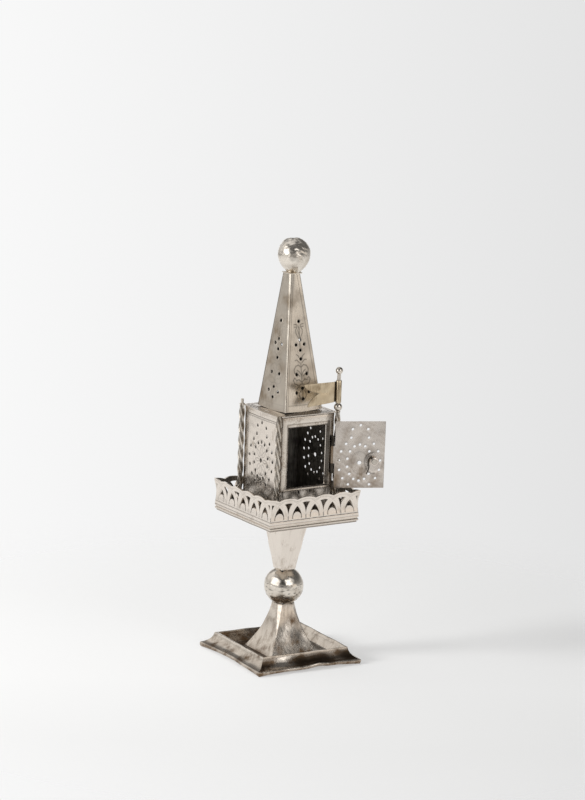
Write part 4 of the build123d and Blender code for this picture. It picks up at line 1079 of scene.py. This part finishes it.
# %% Foot
# Film lies mottled all over and thickens below the edge. The front's hollow is painted dark as a reflection, with a
# painted highlight at its left end, and the dish's left side is painted shade.
foot_x, in_dish = points[..., 0], reach < 24
mottled = ripple(foot_x, points[..., 1] + points[..., 2], 9, 134)
speckled = ripple(foot_x, points[..., 1] + 2 * points[..., 2], 3.0, 135)
film_and_shade = 0.16 + 0.26 * mottled + 0.16 * np.clip(speckled, 0, 1) + 0.25 * bell(reach - 28.9, 0.5) * outside
cavetto = np.clip((reach - 24.9) / 0.8, 0, 1) * np.clip((29.6 - reach) / 0.5, 0, 1) * outside
# The front's hollow is painted dark as a reflection: less at its right end, and below zero near its left end, where it
# paints a highlight.
painted_dark_reflection = cavetto * on_front * (1 - 1.3 * bell(span + 17, 8) - 0.45 * bell(span - 19, 5))
# In the dish, more film on the left is painted shade, and less on the right is painted light.
film_and_shade = film_and_shade + 0.95 * painted_dark_reflection + in_dish * (0.45 * (foot_x < 8) - 0.30 * (foot_x > 18) + 0.2 * (foot_x < -12))
film_and_shade = film_and_shade - 0.9 * bell(reach - 24.6, 0.35) + 0.40 * (reach > 29.6) * (tall < 1.9)
# The painted dark reflection also takes the soot colour.
soot_and_shade = 0.35 * bell(reach - 29.5, 0.2) * outside + 0.72 * painted_dark_reflection
put_piece("beaten_square_foot", points, ring_faces(points), tarnished, ["foot_moulding", "foot_edge_band"],
          merge=True, sharp=40,
          values={"tarnish_and_shade": np.clip(film_and_shade, 0, 1), "engraving_and_shade": np.clip(soot_and_shade, 0, 1)})

# %% [markdown]
# ## Door
# The door hangs open on its pin, so its plate stands at an angle to the tower. It is worked out flat, along its width
# and height, and then placed with the hinge's own directions: along the plate, and out of its inner face. It carries
# the same rosette, a faint pad where the latch has rubbed, with a painted shadow along its side nearer the hinge, and
# one knuckle of the hinge.

# %% Door outline
hinge_x, hinge_y, door_angle = 14.5, -18.8, np.radians(24.0)
door_along = np.array([np.cos(door_angle), -np.sin(door_angle), 0])
door_normal = np.array([-np.sin(door_angle), -np.cos(door_angle), 0])
door_low, door_high, door_start, door_end, door_middle = 92.542, 127.442, 1.2, 27.2, 14.2
knuckle_z, knuckle_tall, latch_u, latch_z = 109.942, 9.2, 21.4, 106.935


def on_door(u, z, w):
    """Point on the hung door: u along the plate from the pin, w out of its inner face, z up."""
    u, z, w = np.broadcast_arrays(u, z, w)
    place = u[..., None] * door_along + w[..., None] * door_normal + z[..., None] * np.array([0, 0, 1.0])
    return place + [hinge_x, hinge_y, 0]


door_holes = np.vstack([np.delete(inner_ring, [3, 4], axis=0), right_ring, right_ring * [-1, 1], crown_ring,
                        [[latch_u - door_middle, latch_z - rosette_z]]])


def door_depth(u, z):
    """Metal of the plate and of the tab that runs into the knuckle, less the punched holes."""
    plate = np.minimum(u - door_start, door_end - u)
    tab = np.minimum(u - 0.4, knuckle_tall / 2 - np.abs(z - knuckle_z))
    return np.minimum(np.maximum(plate, tab), hole_depth(u - door_middle, z - rosette_z, door_holes))


print("holes in the door:", len(door_holes) + 1)

# %% Door plate
cols, rows = 105, 137
door_u, door_z = np.meshgrid(np.linspace(0.4, door_end, cols), np.linspace(door_low, door_high, rows))
pu, pz, keep, depth = pierced(door_u, door_z, door_depth, 0.258)
from_latch = np.hypot((pu - latch_u) / 1.05, np.where(pz > latch_z, pz - latch_z, (pz - latch_z) * 0.62))
pad = 1 / (1 + np.exp((from_latch - 4.0) / 0.16))
burr = bell(depth - 0.1, 0.26)
loose = np.clip((pu - 3) / 10, 0, 1)
bow = loose * (0.16 * ripple(pu, pz, 22, 141) + 0.04 * ripple(pu, pz, 6, 142) - 0.12) + 0.14 * pad
ring_marks = bell(np.hypot(pu - door_middle, (pz - rosette_z) * 0.72) - 4.3, 0.15) * 0.25
front_face = on_door(pu, pz, 0.9 + bow + 0.06 * burr - 0.05 * ring_marks)
rear_face = on_door(pu, pz, 0.3 + bow)
points, faces, back_face = thicken(front_face, rear_face, keep)
by_hinge = np.exp(-(pu - door_start) / 5) * np.clip((122 - pz) / 25, 0.1, 1)
film_and_shade = 0.06 + 0.22 * np.clip((115 - pz) / 20, 0, 1) + 0.45 * by_hinge + 0.2 * np.exp(-(pz - door_low) / 4)
film_and_shade = film_and_shade + 0.22 * ripple(pu, pz, 7, 143) + 0.12 * ripple(pu, pz, 2.2, 144) - 0.2 * pad - 0.25 * burr
# The dark arc round the pad, on its side nearer the hinge, is the pad's painted shadow.
soot_and_shade = 0.4 * bell(depth, 0.16) + 0.55 * bell(from_latch - 4.25, 0.3) * (pu < latch_u + 1) + ring_marks
put_piece("pierced_door_plate", points, faces, door_sheet, ["door"], body="door",
          values={"tarnish_and_shade": np.clip(film_and_shade, 0, 1), "engraving_and_shade": np.clip(soot_and_shade, 0, 0.7)}, back_face=back_face,
          inside=rolled_sheet)

# %% Door knuckle
points = rolled_tube(0.52, 0.95, (knuckle_z - knuckle_tall / 2, knuckle_z + knuckle_tall / 2), (0.13, 0.13),
                     (hinge_x, hinge_y), 40)
put_piece("rolled_door_knuckle", points, ring_faces(points), door_sheet, body="door", merge=True, sharp=30,
          values={"tarnish_and_shade": 0.9 + 0 * points[..., 0]})

# %% [markdown]
# ## Latch
# A thin hook of strip, painted black as the shade along its edge, turns on a rivet with a ringed head. The hook
# is a flat strip: its width runs across a smooth path from the rivet, and it has a front, a back and two edges.

# %% Latch hook
hook_path = np.array([(0.0, 0.4), (-0.9, 1.9), (-2.1, 2.2), (-3.0, 1.2), (-3.0, -0.4), (-2.6, -2.2), (-2.8, -4.3),
                      (-3.9, -6.4)])
knots = np.linspace(0, 1, len(hook_path))
fine = np.linspace(0, 1, 65)
smooth = np.column_stack([np.interp(fine, knots, hook_path[:, i]) for i in (0, 1)])
for _ in range(30):
    smooth[1:-1] = 0.25 * smooth[:-2] + 0.5 * smooth[1:-1] + 0.25 * smooth[2:]
way = np.gradient(smooth, axis=0)
across = np.column_stack([way[:, 1], -way[:, 0]]) / np.hypot(way[:, 0], way[:, 1])[:, None]
wide = np.interp(fine, [0, 0.15, 0.75, 1], [0.6, 0.36, 0.30, 0.12])[:, None]
hook_near, hook_far, hook_bevel = 3.85, 3.25, 0.1
outline = [(1, hook_far), (1, hook_near - hook_bevel), (0.7, hook_near), (-0.7, hook_near),
           (-1, hook_near - hook_bevel), (-1, hook_far)]
sections = []
for side_of, w in outline:
    edge_line = smooth + side_of * wide * across
    sections.append(on_door(latch_u + edge_line[:, 0], latch_z + edge_line[:, 1], np.full(len(fine), w)))
strip = np.stack(sections, axis=1)
ends = np.repeat(strip.mean(axis=1, keepdims=True), len(outline), axis=1)
strip = np.concatenate([ends[:1], strip, ends[-1:]])
# The black finish is painted shade: it stands for the hook's shadowed edge.
put_piece("latch_hook_dark_as_shade", strip, ring_faces(strip), blackened_and_shade, body="latch",
          values={"tarnish_and_shade": 0.3 + 0 * strip[..., 0]}, merge=True, sharp=40)

# %% Latch boss
head_r = np.array([0.0, 0.35, 0.55, 0.75, 0.95, 1.25, 1.6, 1.95, 2.1, 2.1, 1.9, 0.0])
head_w = np.array([4.25, 4.25, 4.12, 4.25, 4.27, 4.12, 4.02, 3.98, 3.85, 3.4, 3.26, 3.26])
a = np.linspace(0, 2 * np.pi, 48, endpoint=False)
head = on_door(latch_u + head_r[:, None] * np.cos(a), latch_z + head_r[:, None] * np.sin(a), head_w[:, None] + 0 * a)
ringed = np.isin(np.arange(len(head_r)), [2, 5])[:, None] * 0.7 + 0 * a
put_piece("ringed_latch_boss", head, ring_faces(head)[:, ::-1], door_sheet, ["latch_lever"], body="latch",
          values={"engraving_and_shade": ringed, "tarnish_and_shade": 0.2 + 0 * ringed}, merge=True, sharp=40)

# %% [markdown]
# ## Flag and mast
# The swallow-tailed flag is cut from sheet and rolled round the mast, and the slot between plate and sleeve is
# painted dark as its shade.
# Its grid runs from the hoist to the tail, and the tail's end is a curve in height. The mast with its two beads is
# turned.

# %% Mast and sleeve
mast_xy, mast_radius, mast_foot, mast_end, mast_top = (post_axis, -post_axis), 0.95, 132.25, 152.4, 155.192
bead_z, bead_radius, knob_z, knob_radius = 134.385, 2.15, 153.292, 1.90
mast_z = np.unique(np.concatenate([np.linspace(mast_foot, mast_end, 90), np.linspace(mast_foot, 136.6, 50),
                                   np.linspace(151.3, mast_top, 60)]))
bead_r = np.sqrt(np.clip(bead_radius ** 2 - (mast_z - bead_z) ** 2, 0, None))
knob_r = np.sqrt(np.clip(knob_radius ** 2 - (mast_z - knob_z) ** 2, 0, None))
mast_r = np.maximum(np.where(mast_z < mast_end, mast_radius, 0), np.maximum(bead_r, knob_r))
points = turned(np.concatenate([[0], mast_r]), np.concatenate([[mast_foot], mast_z]), mast_xy, 48)
put_piece("turned_flag_mast", points, ring_faces(points), burnished, ["flag_pole", "flag_pole_bead", "flag_pole_ball"],
          merge=True, sharp=50,
          values={"tarnish_and_shade": np.clip(0.15 + 0.25 * ripple(points[..., 2], points[..., 0], 4, 151), 0, 1)})
sleeve = rolled_tube(1.03, 1.51, (136.635, 148.235), (0.06, 0.115), mast_xy, 48)
put_piece("rolled_flag_sleeve", sleeve, ring_faces(sleeve), yellowed, body="flag", merge=True, sharp=30,
          values={"tarnish_and_shade": 0.12 + 0 * sleeve[..., 0]})

# %% Flag
hoist, flag_top, flag_low, flag_drop, flag_wall = 16.48, 147.635, 137.235, -1.5, 0.45
tip_top, tip_low, notch_x, notch_z = -3.26, -0.76, 5.34, 142.435
cols, rows = 101, 61
s, t = np.meshgrid(np.linspace(0, 1, cols), np.linspace(0, 1, rows))
base = flag_low + flag_drop * s
notch_t = (notch_z - flag_low - flag_drop * 0.6) / (flag_top - flag_low - flag_drop * 0.6)
below = np.clip(t / notch_t, 0, 1) ** 1.9
above = np.clip((1 - t) / (1 - notch_t), 0, 1) ** 2.0
tail = np.where(t < notch_t, tip_low + (notch_x - tip_low) * below, tip_top + (notch_x - tip_top) * above)
flag_x = hoist + s * (tail - hoist)
flag_z = base + t * (flag_top - base)
# The slot is recessed, and painted near black as the shade in it.
slot_depth_and_shade = 1 / (1 + np.exp(-(flag_x - 15.25) / 0.07))
wave = 0.30 * np.sin(2 * np.pi * s * 0.9 + 0.5) * s + 0.10 * s * ripple(flag_x, flag_z, 9, 152)
flag_y = -post_axis - 0.25 - wave + 0.55 * slot_depth_and_shade
outer = np.stack([flag_x, flag_y, flag_z], axis=-1)[:, ::-1]
inner = np.stack([flag_x, flag_y + flag_wall, flag_z], axis=-1)[:, ::-1]
points, faces, back_face = thicken(outer, inner)
film_and_shade = 0.15 + 0.25 * ripple(flag_x, flag_z, 6, 153)
put_piece("swallow_tailed_flag", points, faces, yellowed, ["flag"], body="flag", back_face=back_face,
          values={"tarnish_and_shade": np.clip(film_and_shade[:, ::-1], 0, 1), "engraving_and_shade": 0.93 * slot_depth_and_shade[:, ::-1]})
